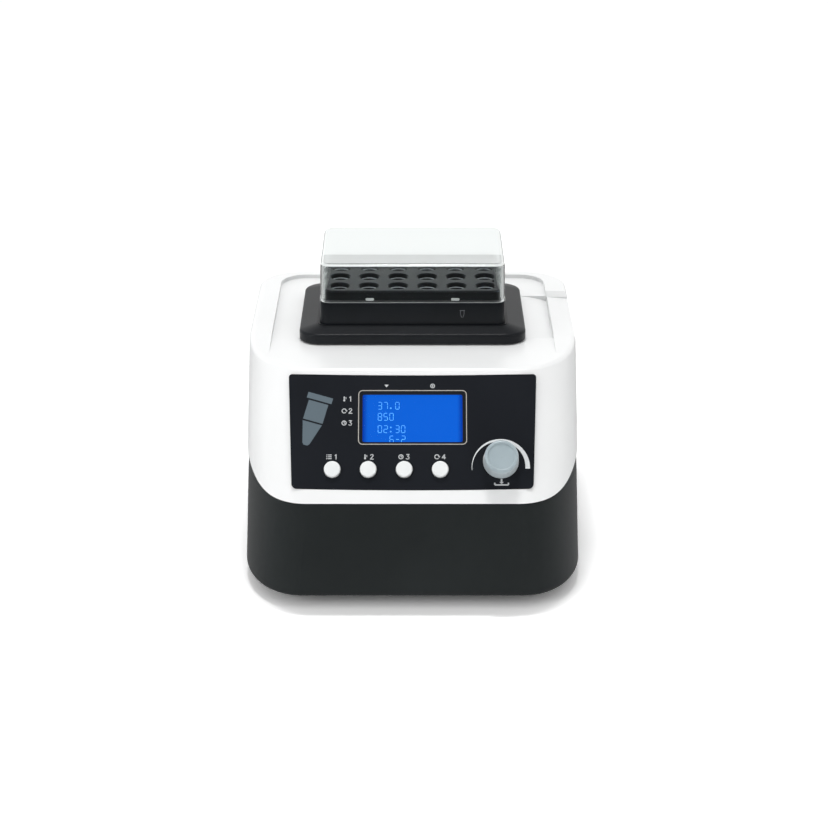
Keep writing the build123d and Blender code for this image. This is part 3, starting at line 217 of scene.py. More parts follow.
@dataclass(frozen=True)
class MouldedPlastic(Finish):
    """Injection moulded plastic: the tool's grain breaks the gloss into a fine, even sparkle.

    The real grain is near a tenth of a millimetre. It is drawn coarser, so that it shows.
    """

    second: str = "#808080"
    grain_mm: float = 0.5
    grain_height_mm: float = 0.004
    grain_mix: float = 0.6
    cloud_mm: float = 45.0
    change: float = 0.05
    shade: float = 0.0
    shade_mm: float = 12.0
    shade_samples: int = 6
    sheen: float = 0.0

    def build(self) -> bpy.types.Material:
        """Make the material from a fine grain and slow clouds of colour and gloss.

        Returns:
            The material.
        """
        material, tree, shader, place = self.start()
        shader.inputs["Sheen Weight"].default_value = self.sheen
        slow = {"Scale": 1 / (self.cloud_mm * MM), "Detail": 3.0}
        cloud = add_node(tree, "ShaderNodeTexNoise", slow, {"Vector": place})
        fine = {"Scale": 1 / (self.grain_mm * MM), "Detail": 2.0, "Roughness": self.grain_mix}
        grain = add_node(tree, "ShaderNodeTexNoise", fine, {"Vector": place})
        self.tint(tree, shader, cloud.outputs[0], self.second)
        # Painted shade: the colour darkens where ambient occlusion finds nearby surfaces.
        if self.shade:
            self.paint_hollow_shade(tree, shader)
        self.vary(tree, shader, grain.outputs[0], self.change)
        self.emboss(tree, shader, grain.outputs[0], self.grain_height_mm)
        return material

    def paint_hollow_shade(self, tree: bpy.types.NodeTree, shader: bpy.types.Node) -> None:
        """Darken grooves and hollows a little with painted shade, where ambient occlusion finds nearby
        surfaces.

        Args:
            tree: The material's node tree.
            shader: The main shader.
        """
        base = shader.inputs["Base Color"].links[0].from_socket
        reach = {"Distance": self.shade_mm * MM, "samples": self.shade_samples}
        # The occlusion darkens the colour itself, as painted shade in grooves and hollows.
        air = add_node(tree, "ShaderNodeAmbientOcclusion", reach).outputs["AO"]
        level = add_node(tree, "ShaderNodeMapRange", {"To Min": 1.0 - self.shade}, {"Value": air})
        shaded = add_node(
            tree, "ShaderNodeVectorMath", {"operation": "SCALE"}, {0: base, "Scale": level.outputs[0]}
        )
        tree.links.new(shaded.outputs[0], shader.inputs["Base Color"])


@dataclass(frozen=True)
class PrintedFilm(Finish):
    """Screen printed polyester film: ink under a satin face, with the roller's faint orange peel."""

    second: str = "#808080"
    ink_mm: float = 55.6
    peel_mm: float = 1.4
    peel_height_mm: float = 0.004
    change: float = 0.03

    def build(self) -> bpy.types.Material:
        """Make the material from the film's peel and a slow change of the ink's depth.

        Returns:
            The material.
        """
        material, tree, shader, place = self.start()
        slow = {"Scale": 1 / (self.ink_mm * MM), "Detail": 2.0}
        ink = add_node(tree, "ShaderNodeTexNoise", slow, {"Vector": place})
        fine = {"Scale": 1 / (self.peel_mm * MM), "Detail": 1.0}
        peel = add_node(tree, "ShaderNodeTexNoise", fine, {"Vector": place})
        self.tint(tree, shader, ink.outputs[0], self.second)
        self.vary(tree, shader, peel.outputs[0], self.change)
        self.emboss(tree, shader, peel.outputs[0], self.peel_height_mm)
        return material


@dataclass(frozen=True)
class ClearMoulding(Finish):
    """Clear resin from a polished tool: faint flow lines, and haze on the top where it is seen at a slant and
    on its rounded rim; the haze is partly a painted reflection on the top and a painted highlight on the rim.

    A slant is 0 where a face is seen square on and 1 where it is seen edge on. A rise is 1 where a
    face looks straight up and 0 where it stands.
    """

    flow_mm: float = 30.0
    flow_height_mm: float = 0.02
    bloom: float = 0.0
    bloom_slants: Point = (0.35, 0.62)
    wall_rises: Point = (0.3, 0.8)
    thin_depths_mm: Point = (5.0, 6.0)
    thin_share: float = 0.3
    edge_colour: str = "#8d9797"
    edge_slants: Point = (0.8, 0.97)
    rim_rise: float = 0.7
    rim_reach: Point = (0.2, 0.29)
    rim_highlight_haze: float = 0.8
    lamp_share: float = 0.8

    def build(self) -> bpy.types.Material:
        """Make the material from clear resin with a very slow wave in its face.

        Returns:
            The material.
        """
        material, tree, shader, place = self.start()
        shader.inputs["Transmission Weight"].default_value = 1.0
        self.pass_lamps(tree, shader)
        if self.bloom:
            slant = add_node(tree, "ShaderNodeLayerWeight", {"Blend": 0.5}).outputs["Facing"]
            self.darken_edges(tree, shader, slant)
            self.haze_top(tree, shader, slant, place)
        slow = {"Scale": 1 / (self.flow_mm * MM), "Detail": 0.0}
        flow = add_node(tree, "ShaderNodeTexNoise", slow, {"Vector": place})
        self.emboss(tree, shader, flow.outputs[0], self.flow_height_mm)
        return material

    def darken_edges(
        self, tree: bpy.types.NodeTree, shader: bpy.types.Node, slant: bpy.types.NodeSocket
    ) -> None:
        """Grey the resin where it is seen edge on, and so through much of its depth.

        Args:
            tree: The material's node tree.
            shader: The main shader.
            slant: How far each face is turned from the eye.
        """
        reach = {"From Min": self.edge_slants[0], "From Max": self.edge_slants[1]}
        dense = add_node(tree, "ShaderNodeMapRange", reach, {"Value": slant})
        colours = {"data_type": "RGBA", 6: linear(self.colour), 7: linear(self.edge_colour)}
        edge = add_node(tree, "ShaderNodeMix", colours, {0: dense.outputs[0]})
        tree.links.new(edge.outputs[2], shader.inputs["Base Color"])

    def haze_top(
        self,
        tree: bpy.types.NodeTree,
        shader: bpy.types.Node,
        slant: bpy.types.NodeSocket,
        place: bpy.types.NodeSocket,
    ) -> None:
        """Cloud the top face where it is seen at a slant, most behind its middle, and its rounded rim: partly
        a painted reflection on the top, and a painted highlight on the rim.

        Args:
            tree: The material's node tree.
            shader: The main shader.
            slant: How far each face is turned from the eye.
            place: The piece's own coordinates.
        """
        # Painted reflection in part: the top turns milky where the eye sees it at a slant.
        grazing = {
            "From Min": self.bloom_slants[0],
            "From Max": self.bloom_slants[1],
            "To Min": 1.0,
            "To Max": 1.0 - self.bloom,
            "interpolation_type": "SMOOTHSTEP",
        }
        clear = add_node(tree, "ShaderNodeMapRange", grazing, {"Value": slant})
        way = add_node(tree, "ShaderNodeTexCoord").outputs["Normal"]
        rise = add_node(tree, "ShaderNodeSeparateXYZ", None, {0: way}).outputs["Z"]
        upright = {
            "From Min": self.wall_rises[0],
            "From Max": self.wall_rises[1],
            "To Min": 1.0,
            "To Max": 0.0,
        }
        wall = add_node(tree, "ShaderNodeMapRange", upright, {"Value": rise})
        depth = add_node(tree, "ShaderNodeSeparateXYZ", None, {0: place}).outputs["Y"]
        front = {
            "From Min": self.thin_depths_mm[0] * MM,
            "From Max": self.thin_depths_mm[1] * MM,
            "To Min": self.thin_share,
            "To Max": 0.0,
        }
        thin = add_node(tree, "ShaderNodeMapRange", front, {"Value": depth})
        top = add_node(
            tree, "ShaderNodeMath", {"operation": "ADD"}, {0: clear.outputs[0], 1: thin.outputs[0]}
        )
        face = add_node(
            tree, "ShaderNodeMath", {"operation": "MAXIMUM"}, {0: top.outputs[0], 1: wall.outputs[0]}
        )
        lean = add_node(tree, "ShaderNodeMath", {"operation": "SUBTRACT", 1: self.rim_rise}, {0: rise})
        away = add_node(tree, "ShaderNodeMath", {"operation": "ABSOLUTE"}, {0: lean.outputs[0]})
        # Painted highlight: the rounded rim turns milky, so it lights up like a highlight.
        rounding = {
            "From Min": self.rim_reach[0],
            "From Max": self.rim_reach[1],
            "To Min": 1.0 - self.rim_highlight_haze,
            "To Max": 1.0,
        }
        rim = add_node(tree, "ShaderNodeMapRange", rounding, {"Value": away.outputs[0]})
        seen = add_node(
            tree, "ShaderNodeMath", {"operation": "MULTIPLY"}, {0: face.outputs[0], 1: rim.outputs[0]}
        )
        tree.links.new(seen.outputs[0], shader.inputs["Transmission Weight"])

    def pass_lamps(self, tree: bpy.types.NodeTree, shader: bpy.types.Node) -> None:
        """Let most of a lamp's light through to what lies under the moulding.

        Args:
            tree: The material's node tree.
            shader: The main shader.
        """
        output = next(node for node in tree.nodes if node.bl_idname == "ShaderNodeOutputMaterial")
        shadow = add_node(tree, "ShaderNodeLightPath").outputs["Is Shadow Ray"]
        share = add_node(tree, "ShaderNodeMath", {"operation": "MULTIPLY", 1: self.lamp_share}, {0: shadow})
        clear = add_node(tree, "ShaderNodeBsdfTransparent")
        feeds = {0: share.outputs[0], 1: shader.outputs[0], 2: clear.outputs[0]}
        both = add_node(tree, "ShaderNodeMixShader", None, feeds)
        tree.links.new(both.outputs[0], output.inputs["Surface"])


@dataclass(frozen=True)
class BacklitDisplay(Finish):
    """Backlit liquid crystal glass: an even blue glow, darker at both ends, with fine pixel columns."""

    glass_colour: str = "#000d27"
    edge_colour: str = "#0a3fae"
    glow: float = 1.0
    pixel_mm: float = 0.45
    column_levels: Point = (0.94, 1.03)
    half_width_mm: float = 29.5
    edge_mm: float = 3.5

    def build(self) -> bpy.types.Material:
        """Make the material from the backlight's glow, its fall at both ends and the pixel columns.

        Returns:
            The material.
        """
        material, tree, shader, place = self.start()
        parts = add_node(tree, "ShaderNodeSeparateXYZ", None, {0: place})
        across = add_node(tree, "ShaderNodeMath", {"operation": "ABSOLUTE"}, {0: parts.outputs["X"]})
        ends = {
            "From Min": (self.half_width_mm - self.edge_mm) * MM,
            "From Max": self.half_width_mm * MM,
            "interpolation_type": "SMOOTHSTEP",
        }
        fall = add_node(tree, "ShaderNodeMapRange", ends, {"Value": across.outputs[0]})
        colours = {"data_type": "RGBA", 6: linear(self.colour), 7: linear(self.edge_colour)}
        glow = add_node(tree, "ShaderNodeMix", colours, {0: fall.outputs[0]})
        bands = {
            "bands_direction": "X",
            "Scale": WAVE_BAND_M / (self.pixel_mm * MM),
            "Distortion": 0.0,
            "Detail": 0.0,
        }
        columns = add_node(tree, "ShaderNodeTexWave", bands, {"Vector": place})
        levels = {"To Min": self.column_levels[0], "To Max": self.column_levels[1]}
        lines = add_node(tree, "ShaderNodeMapRange", levels, {"Value": columns.outputs[1]})
        feeds = {0: glow.outputs[2], "Scale": lines.outputs[0]}
        grid = add_node(tree, "ShaderNodeVectorMath", {"operation": "SCALE"}, feeds)
        tree.links.new(grid.outputs[0], shader.inputs["Emission Color"])
        shader.inputs["Emission Strength"].default_value = self.glow
        shader.inputs["Base Color"].default_value = linear(self.glass_colour)
        return material


@dataclass(frozen=True)
class BlastedAnodising(Finish):
    """Bead blasted and black anodised aluminium: dyed dark, with a soft bloom over fine pits.

    The real pits are near a tenth of a millimetre. They are drawn coarser, so that they show.
    """

    second: str = "#404040"
    pit_mm: float = 0.35
    pit_height_mm: float = 0.012
    dye_mm: float = 33.3
    change: float = 0.05

    def build(self) -> bpy.types.Material:
        """Make the material from bead pits and the dye's slight clouding.

        Returns:
            The material.
        """
        material, tree, shader, place = self.start()
        beads = {"Scale": 1 / (self.pit_mm * MM), "feature": "SMOOTH_F1"}
        pits = add_node(tree, "ShaderNodeTexVoronoi", beads, {"Vector": place})
        slow = {"Scale": 1 / (self.dye_mm * MM), "Detail": 4.0}
        dye = add_node(tree, "ShaderNodeTexNoise", slow, {"Vector": place})
        self.tint(tree, shader, dye.outputs[0], self.second)
        self.vary(tree, shader, dye.outputs[0], self.change)
        self.emboss(tree, shader, pits.outputs["Distance"], self.pit_height_mm)
        return material


@dataclass(frozen=True)
class MachinedMetal(Finish):
    """Milled, turned or ground metal: fine cutter lines draw the highlights out across them."""

    second: str = "#9a9a9a"
    line_mm: float = 0.3
    stretch: tuple[float, float, float] = (1.0, 0.04, 1.0)
    line_height_mm: float = 0.004
    change: float = 0.07
    patina_mm: float = 16.7
    patina_levels: Point = (0.4, 0.75)

    def build(self) -> bpy.types.Material:
        """Make the material from stretched cutter lines and a cloudy patina.

        Returns:
            The material.
        """
        material, tree, shader, place = self.start()
        drawn = add_node(tree, "ShaderNodeMapping", {"Scale": self.stretch}, {"Vector": place})
        cuts = {"Scale": 1 / (self.line_mm * MM), "Detail": 3.0}
        lines = add_node(tree, "ShaderNodeTexNoise", cuts, {"Vector": drawn.outputs[0]})
        slow = {"Scale": 1 / (self.patina_mm * MM), "Detail": 4.0}
        patina = add_node(tree, "ShaderNodeTexNoise", slow, {"Vector": place})
        self.tint(tree, shader, patina.outputs[0], self.second, *self.patina_levels)
        self.vary(tree, shader, lines.outputs[0], self.change)
        self.emboss(tree, shader, lines.outputs[0], self.line_height_mm)
        return material


@dataclass(frozen=True)
class WovenBoard(Finish):
    """Glass cloth laminate: the weave shows through the mask or resin as a fine, regular check."""

    second: str = "#808080"
    thread_mm: float = 0.8
    thread_height_mm: float = 0.01
    resin_mm: float = 11.1

    def build(self) -> bpy.types.Material:
        """Make the material from the crossing threads of the cloth.

        Returns:
            The material.
        """
        material, tree, shader, place = self.start()
        threads = {"Scale": 1 / (self.thread_mm * MM)}
        weave = add_node(tree, "ShaderNodeTexChecker", threads, {"Vector": place})
        slow = {"Scale": 1 / (self.resin_mm * MM), "Detail": 3.0}
        resin = add_node(tree, "ShaderNodeTexNoise", slow, {"Vector": place})
        self.tint(tree, shader, resin.outputs[0], self.second)
        self.emboss(tree, shader, weave.outputs["Fac"], self.thread_height_mm)
        return material


@dataclass(frozen=True)
class PrintedInk(Finish):
    """Screen printed ink: a thin, nearly matte layer with the mesh's faint unevenness.

    The real mesh has a thread every tenth of a millimetre. It is drawn coarser, so that it shows.
    """

    glow: float = 0.0
    mesh_mm: float = 0.25
    change: float = 0.08

    def build(self) -> bpy.types.Material:
        """Make the material from the ink with the marks of the screen's threads.

        Returns:
            The material.
        """
        material, tree, shader, place = self.start()
        mesh = {"Scale": 1 / (self.mesh_mm * MM), "Detail": 1.0}
        threads = add_node(tree, "ShaderNodeTexNoise", mesh, {"Vector": place})
        self.vary(tree, shader, threads.outputs[0], self.change)
        if self.glow:
            shader.inputs["Emission Color"].default_value = linear(self.colour)
            shader.inputs["Emission Strength"].default_value = self.glow
        return material


# Gloss white ABS: a polished tool gives the shell long soft highlights with almost no grain, and painted
# shade darkens its grooves and hollows.
WHITE_ABS = MouldedPlastic(
    "abs_white_gloss_moulded", "#f1f2f2", 0.3, ior=1.53, second="#eeefef",
    grain_mm=0.8, grain_height_mm=0.002, cloud_mm=60.0, change=0.03, shade=0.2,
)
# Matte black ABS: a sparked tool gives the base a soft, dark face that hides handling marks.
BLACK_ABS = MouldedPlastic(
    "abs_black_grained", "#1f2425", 0.42, ior=1.53, specular=0.35, second="#232829",
    grain_mm=0.6, grain_height_mm=0.02, cloud_mm=70.0, change=0.06,
)
# Heat resistant nylon: blacker and a little silkier than the base.
SKIRT_NYLON = MouldedPlastic(
    "nylon_skirt_moulded", "#1a1c1f", 0.36, ior=1.53, specular=0.12, second="#1f2124",
    grain_height_mm=0.014, cloud_mm=40.0, change=0.06,
)
# Nitrile rubber: dull and a little dusty.
FOOT_RUBBER = MouldedPlastic(
    "nitrile_rubber_moulded", "#191919", 0.75, ior=1.52, specular=0.3, second="#232322",
    grain_mm=0.7, grain_height_mm=0.03, cloud_mm=12.0, change=0.08,
)
# Polished white ABS buttons: a little glossier than the shell, so that the caps stand out from it.
BUTTON_ABS = MouldedPlastic(
    "abs_button_polished", "#eceeee", 0.25, ior=1.53, second="#e6e9e9",
    grain_height_mm=0.001, cloud_mm=9.0, change=0.03,
)
# Soft-touch satin paint over ABS: a grey-blue whose sheen lifts the rim and the sides.
KNOB_PAINT = MouldedPlastic(
    "satin_paint_knob", "#a3b1b7", 0.33, specular=0.6, second="#9dacb2",
    grain_mm=0.35, cloud_mm=14.0, change=0.04, sheen=0.5,
)
# Black polyester film: satin, a little blue.
PANEL_FILM = PrintedFilm(
    "polyester_overlay_black", "#171a20", 0.33, ior=1.57, specular=0.25, second="#1a1d23"
)
# Clear polycarbonate lid: nearly no tint, milky at its rounded rim and where the top is seen at a slant; the
# milk is a painted highlight on the rim and partly a painted reflection on the top.
LID_RESIN = ClearMoulding(
    "polycarbonate_lid_clear", "#eff3f2", 0.015, specular=0.45, flow_height_mm=0.01, bloom=0.8
)
# Anti-glare display window: little reflection, so the display stays saturated.
WINDOW_RESIN = ClearMoulding("acrylic_window_antiglare", "#ffffff", 0.03, ior=1.12, flow_height_mm=0.0)
# Backlit display glass: a saturated blue that lights itself and hardly reflects.
DISPLAY = BacklitDisplay("display_backlight_blue", "#0f62da", 0.2, specular=0.1)
# Black anodised aluminium: darker than the plastics, with a soft bloom on its wells' edges.
BLOCK_ANODISED = BlastedAnodising(
    "aluminium_anodised_black", "#0e1216", 0.3, specular=0.25, second="#13171c"
)
# Milled aluminium plate: pale and satin, with the cutter's lines from front to back.
MILLED_PLATE = MachinedMetal("aluminium_milled", "#c6c8ca", 0.34, metallic=1.0, second="#aeb1b4")
# Turned and ground steel: bright, with fine lines along the shafts' length.
TURNED_STEEL = MachinedMetal(
    "steel_turned_ground", "#c9cacc", 0.22, metallic=1.0, second="#b3b5b8",
    line_mm=0.2, stretch=(1.0, 1.0, 0.05),
)
# Zinc plated steel: a greyer, cloudy shine without a direction.
ZINC_STEEL = MachinedMetal(
    "steel_zinc_plated", "#b9bdc0", 0.36, metallic=1.0, second="#a3a79f",
    line_mm=0.5, stretch=(1.0, 1.0, 1.0),
)
# Turned brass: a warm yellow weight among the grey steel.
TURNED_BRASS = MachinedMetal("brass_turned", "#c29a4e", 0.28, metallic=1.0, second="#a9823c")
# Black motor paint: an even, slightly soft coat.
MOTOR_PAINT = MouldedPlastic(
    "motor_paint_black", "#1f2022", 0.4, specular=0.4, second="#26282a",
    grain_mm=0.9, grain_height_mm=0.01, cloud_mm=20.0,
)
# Moulded silicone mat: a dull orange red.
HEATER_SILICONE = MouldedPlastic(
    "silicone_heater_mat", "#b4532a", 0.62, ior=1.45, specular=0.35, second="#a84a24",
    grain_mm=1.0, grain_height_mm=0.02, cloud_mm=15.0, change=0.06,
)
# Uncoloured glass laminate: pale straw, with its cloth just showing.
SPACER_LAMINATE = WovenBoard(
    "glass_laminate_natural", "#cfc8a6", 0.55, ior=1.55, specular=0.4, second="#c2ba94"
)
# Circuit board with green solder mask: glossier, with the cloth under the mask.
CIRCUIT_LAMINATE = WovenBoard("circuit_board_green", "#1d5a37", 0.35, ior=1.55, second="#1a5232")
# Black display holder and switches: plain dull plastic that stays out of sight.
DISPLAY_HOLDER = MouldedPlastic(
    "display_holder_black", "#141517", 0.5, ior=1.53, specular=0.3, second="#191a1c",
    grain_height_mm=0.01, cloud_mm=20.0,
)
# Moulded nylon inlet: a dark satin face.
INLET_NYLON = MouldedPlastic(
    "nylon_inlet_black", "#151618", 0.45, ior=1.53, specular=0.4, second="#1a1b1d",
    grain_height_mm=0.01, cloud_mm=12.0,
)
# Polished black ABS rocker: the glossiest black at the back.
ROCKER_ABS = MouldedPlastic(
    "abs_rocker_gloss", "#131416", 0.2, ior=1.53, second="#151618",
    grain_height_mm=0.002, cloud_mm=12.0, change=0.03,
)
# Dull, paler metal rings inside the wells: a painted highlight on their ledges.
LEDGE_HIGHLIGHT_METAL = MachinedMetal(
    "aluminium_ledge_painted_highlight", "#a9aeb2", 0.5, metallic=0.55, second="#92979b", line_mm=0.25
)
# Nickel over brass: a warm, smooth shine in the dark mouth of the inlet.
PLATED_PIN = MachinedMetal(
    "brass_nickel_plated", "#c9c5ba", 0.24, metallic=1.0, second="#b5b0a3", line_mm=0.4
)
# White studs at the lid's foot: a plain, even white, a painted highlight that stands in for their glints.
DETENT_GLINT_WHITE = MouldedPlastic(
    "detent_white_painted_glint", "#f7f8f8", 0.35, ior=1.48, second="#e2e4e4",
    grain_mm=0.4, grain_height_mm=0.002, cloud_mm=6.0, change=0.04,
)
# Inks on the film: a warm grey line, a white sweep, light grey signs and a slate blue motif.
PALE_INK = PrintedInk("ink_warm_grey", "#b3afa8", 0.5)
WHITE_INK = PrintedInk("ink_white", "#dfe2e3", 0.45)
LABEL_INK = PrintedInk("ink_light_grey", "#c3c6c8", 0.5)
SLATE_INK = PrintedInk("ink_slate_blue", "#5b6a73", 0.5)
# The block's mark, where the dye is burnt out: a quiet grey on black.
ENGRAVED_INK = PrintedInk("ink_engraved_grey", "#56595c", 0.6)
# Liquid crystal dots that let the light through: a paler blue that glows on the display.
DIGIT_CRYSTAL = PrintedInk("display_digit_crystal", "#4ea3ea", 0.4, glow=0.9)

made: dict[str, bpy.types.Material] = {}


def material_of(finish: Finish) -> bpy.types.Material:
    """Return a finish's material, which is made once.

    Args:
        finish: The finish.

    Returns:
        Its material.
    """
    if finish.name not in made:
        made[finish.name] = finish.build()
    return made[finish.name]


def dress(finish: Finish, *nodes: str) -> None:
    """Give CAD nodes their finish.

    Args:
        finish: The finish that they get.
        nodes: The nodes' names.
    """
    for node in nodes:
        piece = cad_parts[node]
        piece.data.materials.clear()
        piece.data.materials.append(material_of(finish))
        log.info("%s is finished in %s", node, finish.name)


def place(name: str, form: bmesh.types.BMesh, finish: Finish, body: Body, slot: Slot) -> bpy.types.Object:
    """Turn a form into a piece of the scene that rides on a body.

    Args:
        name: The piece's name.
        form: Its mesh in the row frame; it is freed here.
        finish: Its finish.
        body: The body that it rides on.
        slot: The record's slot that its finish belongs to. It is not used.

    Returns:
        The piece.
    """
    bmesh.ops.recalc_face_normals(form, faces=form.faces)
    mesh = bpy.data.meshes.new(name)
    form.to_mesh(mesh)
    form.free()
    mesh.materials.append(material_of(finish))
    piece = bpy.data.objects.new(name, mesh)
    bpy.context.scene.collection.objects.link(piece)
    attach(piece, body.value)
    log.info("%s: %d faces, rides on %s", name, len(mesh.polygons), body.value)
    return piece


@dataclass
class Print:
    """Flat printing on a plane: shapes in millimetres, laid just over the surface as thin ink."""

    plane: Matrix
    lift_mm: float = 0.02
    sink_mm: float = 0.02
    form: bmesh.types.BMesh = field(default_factory=bmesh.new)

    def patch(self, outline: Sequence[Point]) -> None:
        """Add one flat patch.

        Args:
            outline: Its corners in order.
        """
        low, high = -self.sink_mm, self.lift_mm
        feet = [self.form.verts.new(self.plane @ Vector((x * MM, y * MM, low * MM))) for x, y in outline]
        tops = [self.form.verts.new(self.plane @ Vector((x * MM, y * MM, high * MM))) for x, y in outline]
        self.form.faces.new(tops)
        self.form.faces.new(feet[::-1])
        count = len(outline)
        for i in range(count):
            j = (i + 1) % count
            self.form.faces.new((feet[i], feet[j], tops[j], tops[i]))

    def band(self, outer: Sequence[Point], inner: Sequence[Point], closed: bool) -> None:
        """Add a band between two lines that have the same number of points.

        Args:
            outer: The one edge.
            inner: The other edge.
            closed: Whether the band joins its own start.
        """
        count = len(outer)
        for i in range(count if closed else count - 1):
            j = (i + 1) % count
            self.patch((outer[i], outer[j], inner[j], inner[i]))

    def stroke(self, start: Point, end: Point, width: float) -> None:
        """Add a straight line of ink.

        Args:
            start: Where it starts.
            end: Where it ends.
            width: Its width.
        """
        run, rise = end[0] - start[0], end[1] - start[1]
        long = hypot(run, rise)
        aside = (-rise / long * width / 2, run / long * width / 2)
        self.patch(
            (
                (start[0] - aside[0], start[1] - aside[1]),
                (end[0] - aside[0], end[1] - aside[1]),
                (end[0] + aside[0], end[1] + aside[1]),
                (start[0] + aside[0], start[1] + aside[1]),
            )
        )

    def arc(
        self, centre: Point, radius: float, start: float, end: float, widths: Point, steps: int = 48
    ) -> None:
        """Add a curved line of ink whose inner edge may close in, as in a tapering crescent.

        Args:
            centre: The centre of its outer edge.
            radius: The radius of its outer edge.
            start: The angle in degrees where it starts.
            end: The angle in degrees where it ends.
            widths: Its width at the start and at the end.
            steps: The number of pieces that it is made of.
        """
        outer: list[Point] = []
        inner: list[Point] = []
        for step in range(steps + 1):
            share = step / steps
            angle = radians(start + (end - start) * share)
            inside = radius - widths[0] - (widths[1] - widths[0]) * share
            outer.append((centre[0] + radius * cos(angle), centre[1] + radius * sin(angle)))
            inner.append((centre[0] + inside * cos(angle), centre[1] + inside * sin(angle)))
        self.band(outer, inner, False)

    def digit(self, number: int, corner: Point, height: float, width: float) -> None:
        """Add a plain number in straight strokes.

        Args:
            number: The number, from 1 to 4.
            corner: The lower left corner of its field.
            height: Its height.
            width: The width of its strokes.
        """
        # Corners of each number, as shares of its height.
        lines: dict[int, tuple[Point, ...]] = {
            1: ((0.1, 0.75), (0.35, 1.0), (0.35, 0.0)),
            2: ((0.0, 0.8), (0.2, 1.0), (0.5, 1.0), (0.6, 0.72), (0.0, 0.0), (0.65, 0.0)),
            3: ((0.0, 1.0), (0.6, 1.0), (0.28, 0.6), (0.6, 0.4), (0.55, 0.08), (0.3, 0.0), (0.0, 0.1)),
            4: ((0.5, 0.0), (0.5, 1.0), (0.0, 0.3), (0.7, 0.3)),
        }
        points = [(corner[0] + x * height, corner[1] + y * height) for x, y in lines[number]]
        for start, end in zip(points, points[1:]):
            self.stroke(start, end, width)
            self.disc(end, width / 2)

    def disc(self, centre: Point, radius: float) -> None:
        """Add a filled circle.

        Args:
            centre: Its centre.
            radius: Its radius.
        """
        count = max(DISC_CORNERS_LEAST, ceil(radius * DISC_CORNERS_PER_MM))
        self.patch(
            [
                (centre[0] + radius * cos(2 * pi * i / count), centre[1] + radius * sin(2 * pi * i / count))
                for i in range(count)
            ]
        )

    def frame_line(self, centre: Point, size: Point, corner: float, width: float) -> None:
        """Add the outline of a rounded rectangle.

        Args:
            centre: Its centre.
            size: Its width and height along the line's outer edge.
            corner: The radius of the outer corners.
            width: The line's width.
        """
        inner_size = (size[0] - 2 * width, size[1] - 2 * width)
        self.band(rounded(centre, size, corner), rounded(centre, inner_size, corner - width), True)


def rounded(centre: Point, size: Point, corner: float, steps: int = 6) -> list[Point]:
    """Return the outline of a rounded rectangle.

    Args:
        centre: Its centre.
        size: Its width and height.
        corner: The radius of its corners.
        steps: The number of pieces in each corner.

    Returns:
        Its points, anticlockwise from the upper end of its right side.
    """
    points: list[Point] = []
    for number, (side, end) in enumerate(((1, 1), (-1, 1), (-1, -1), (1, -1))):
        x = centre[0] + side * (size[0] / 2 - corner)
        y = centre[1] + end * (size[1] / 2 - corner)
        for step in range(steps + 1):
            angle = radians(90 * (number + step / steps))
            points.append((x + corner * cos(angle), y + corner * sin(angle)))
    return points


class Sign(Enum):
    """Generic signs that stand where the instrument has its labels."""

    HEAT = "heat"
    SPIN = "spin"
    CLOCK = "clock"
    STEPS = "steps"
    WANTED = "wanted"
    READ = "read"
    PRESS = "press"


def draw_sign(ink: Print, sign: Sign, centre: Point, size: float, width: float) -> None:
    """Draw one generic sign in thin lines, with its places as shares of half its height.

    Args:
        ink: The printing that gets it.
        sign: Which sign it is.
        centre: Its centre.
        size: Its height.
        width: The width of its lines.
    """
    x, y = centre
    half = size / 2
    match sign:
        case Sign.HEAT:
            ink.disc((x, y - half * 0.62), half * 0.4)
            ink.arc((x, y + half * 0.72), half * 0.28, 0, 180, (width * 0.7, width * 0.7), 12)
            for side in (-1, 1):
                edge = x + side * (half * 0.28 - width * 0.35)
                ink.stroke((edge, y - half * 0.4), (edge, y + half * 0.74), width * 0.7)
            for level in (y, y + half * 0.3, y + half * 0.6):
                ink.stroke((x + half * 0.5, level), (x + half * 0.85, level), width * 0.6)
        case Sign.SPIN:
            ink.arc(centre, half, 20, 320, (width, width), 24)
            top, tip = y + half * 0.25, y - half * 0.45
            ink.patch(((x + half * 1.35, top), (x + half * 0.45, top), (x + half * 0.9, tip)))
        case Sign.CLOCK:
            ink.arc(centre, half, 0, 360, (width, width), 28)
            ink.stroke(centre, (x, y + half * 0.62), width)
            ink.stroke(centre, (x + half * 0.5, y - half * 0.2), width)
        case Sign.STEPS:
            for level in (-0.75, 0.0, 0.75):
                ink.stroke((x - half * 0.5, y + half * level), (x + half, y + half * level), width)
                ink.disc((x - half * 0.9, y + half * level), width * 0.6)
        case Sign.WANTED:
            ink.patch(((x - half, y + half * 0.6), (x, y - half * 0.7), (x + half, y + half * 0.6)))
        case Sign.READ:
            ink.arc(centre, half, 0, 360, (width, width), 24)
            ink.disc(centre, half * 0.35)
        case Sign.PRESS:
            reach, foot = half * 1.9, y - half * 0.75
            ink.stroke((x - reach, foot), (x + reach, foot), width)
            ink.stroke((x, y + half), (x, y), width * 1.3)
            barb, neck = half * 0.62, y + half * 0.1
            ink.patch(((x - barb, neck), (x, y - half * 0.5), (x + barb, neck)))
            for side in (-1, 1):
                ink.stroke((x + side * reach, foot), (x + side * reach, y - half * 0.1), width)


@dataclass
class Casing:
    """The two-part shell on its feet."""

    feet: int = 4

    def build(self) -> None:
        """Dress the shell, its feet and its screws."""
        dress(WHITE_ABS, "upper_casing")
        dress(BLACK_ABS, "lower_casing")
        dress(FOOT_RUBBER, *[f"rubber_foot_{i}" for i in range(1, self.feet + 1)])
        dress(ZINC_STEEL, "casing_screws", "foot_screws", "chassis_screws")


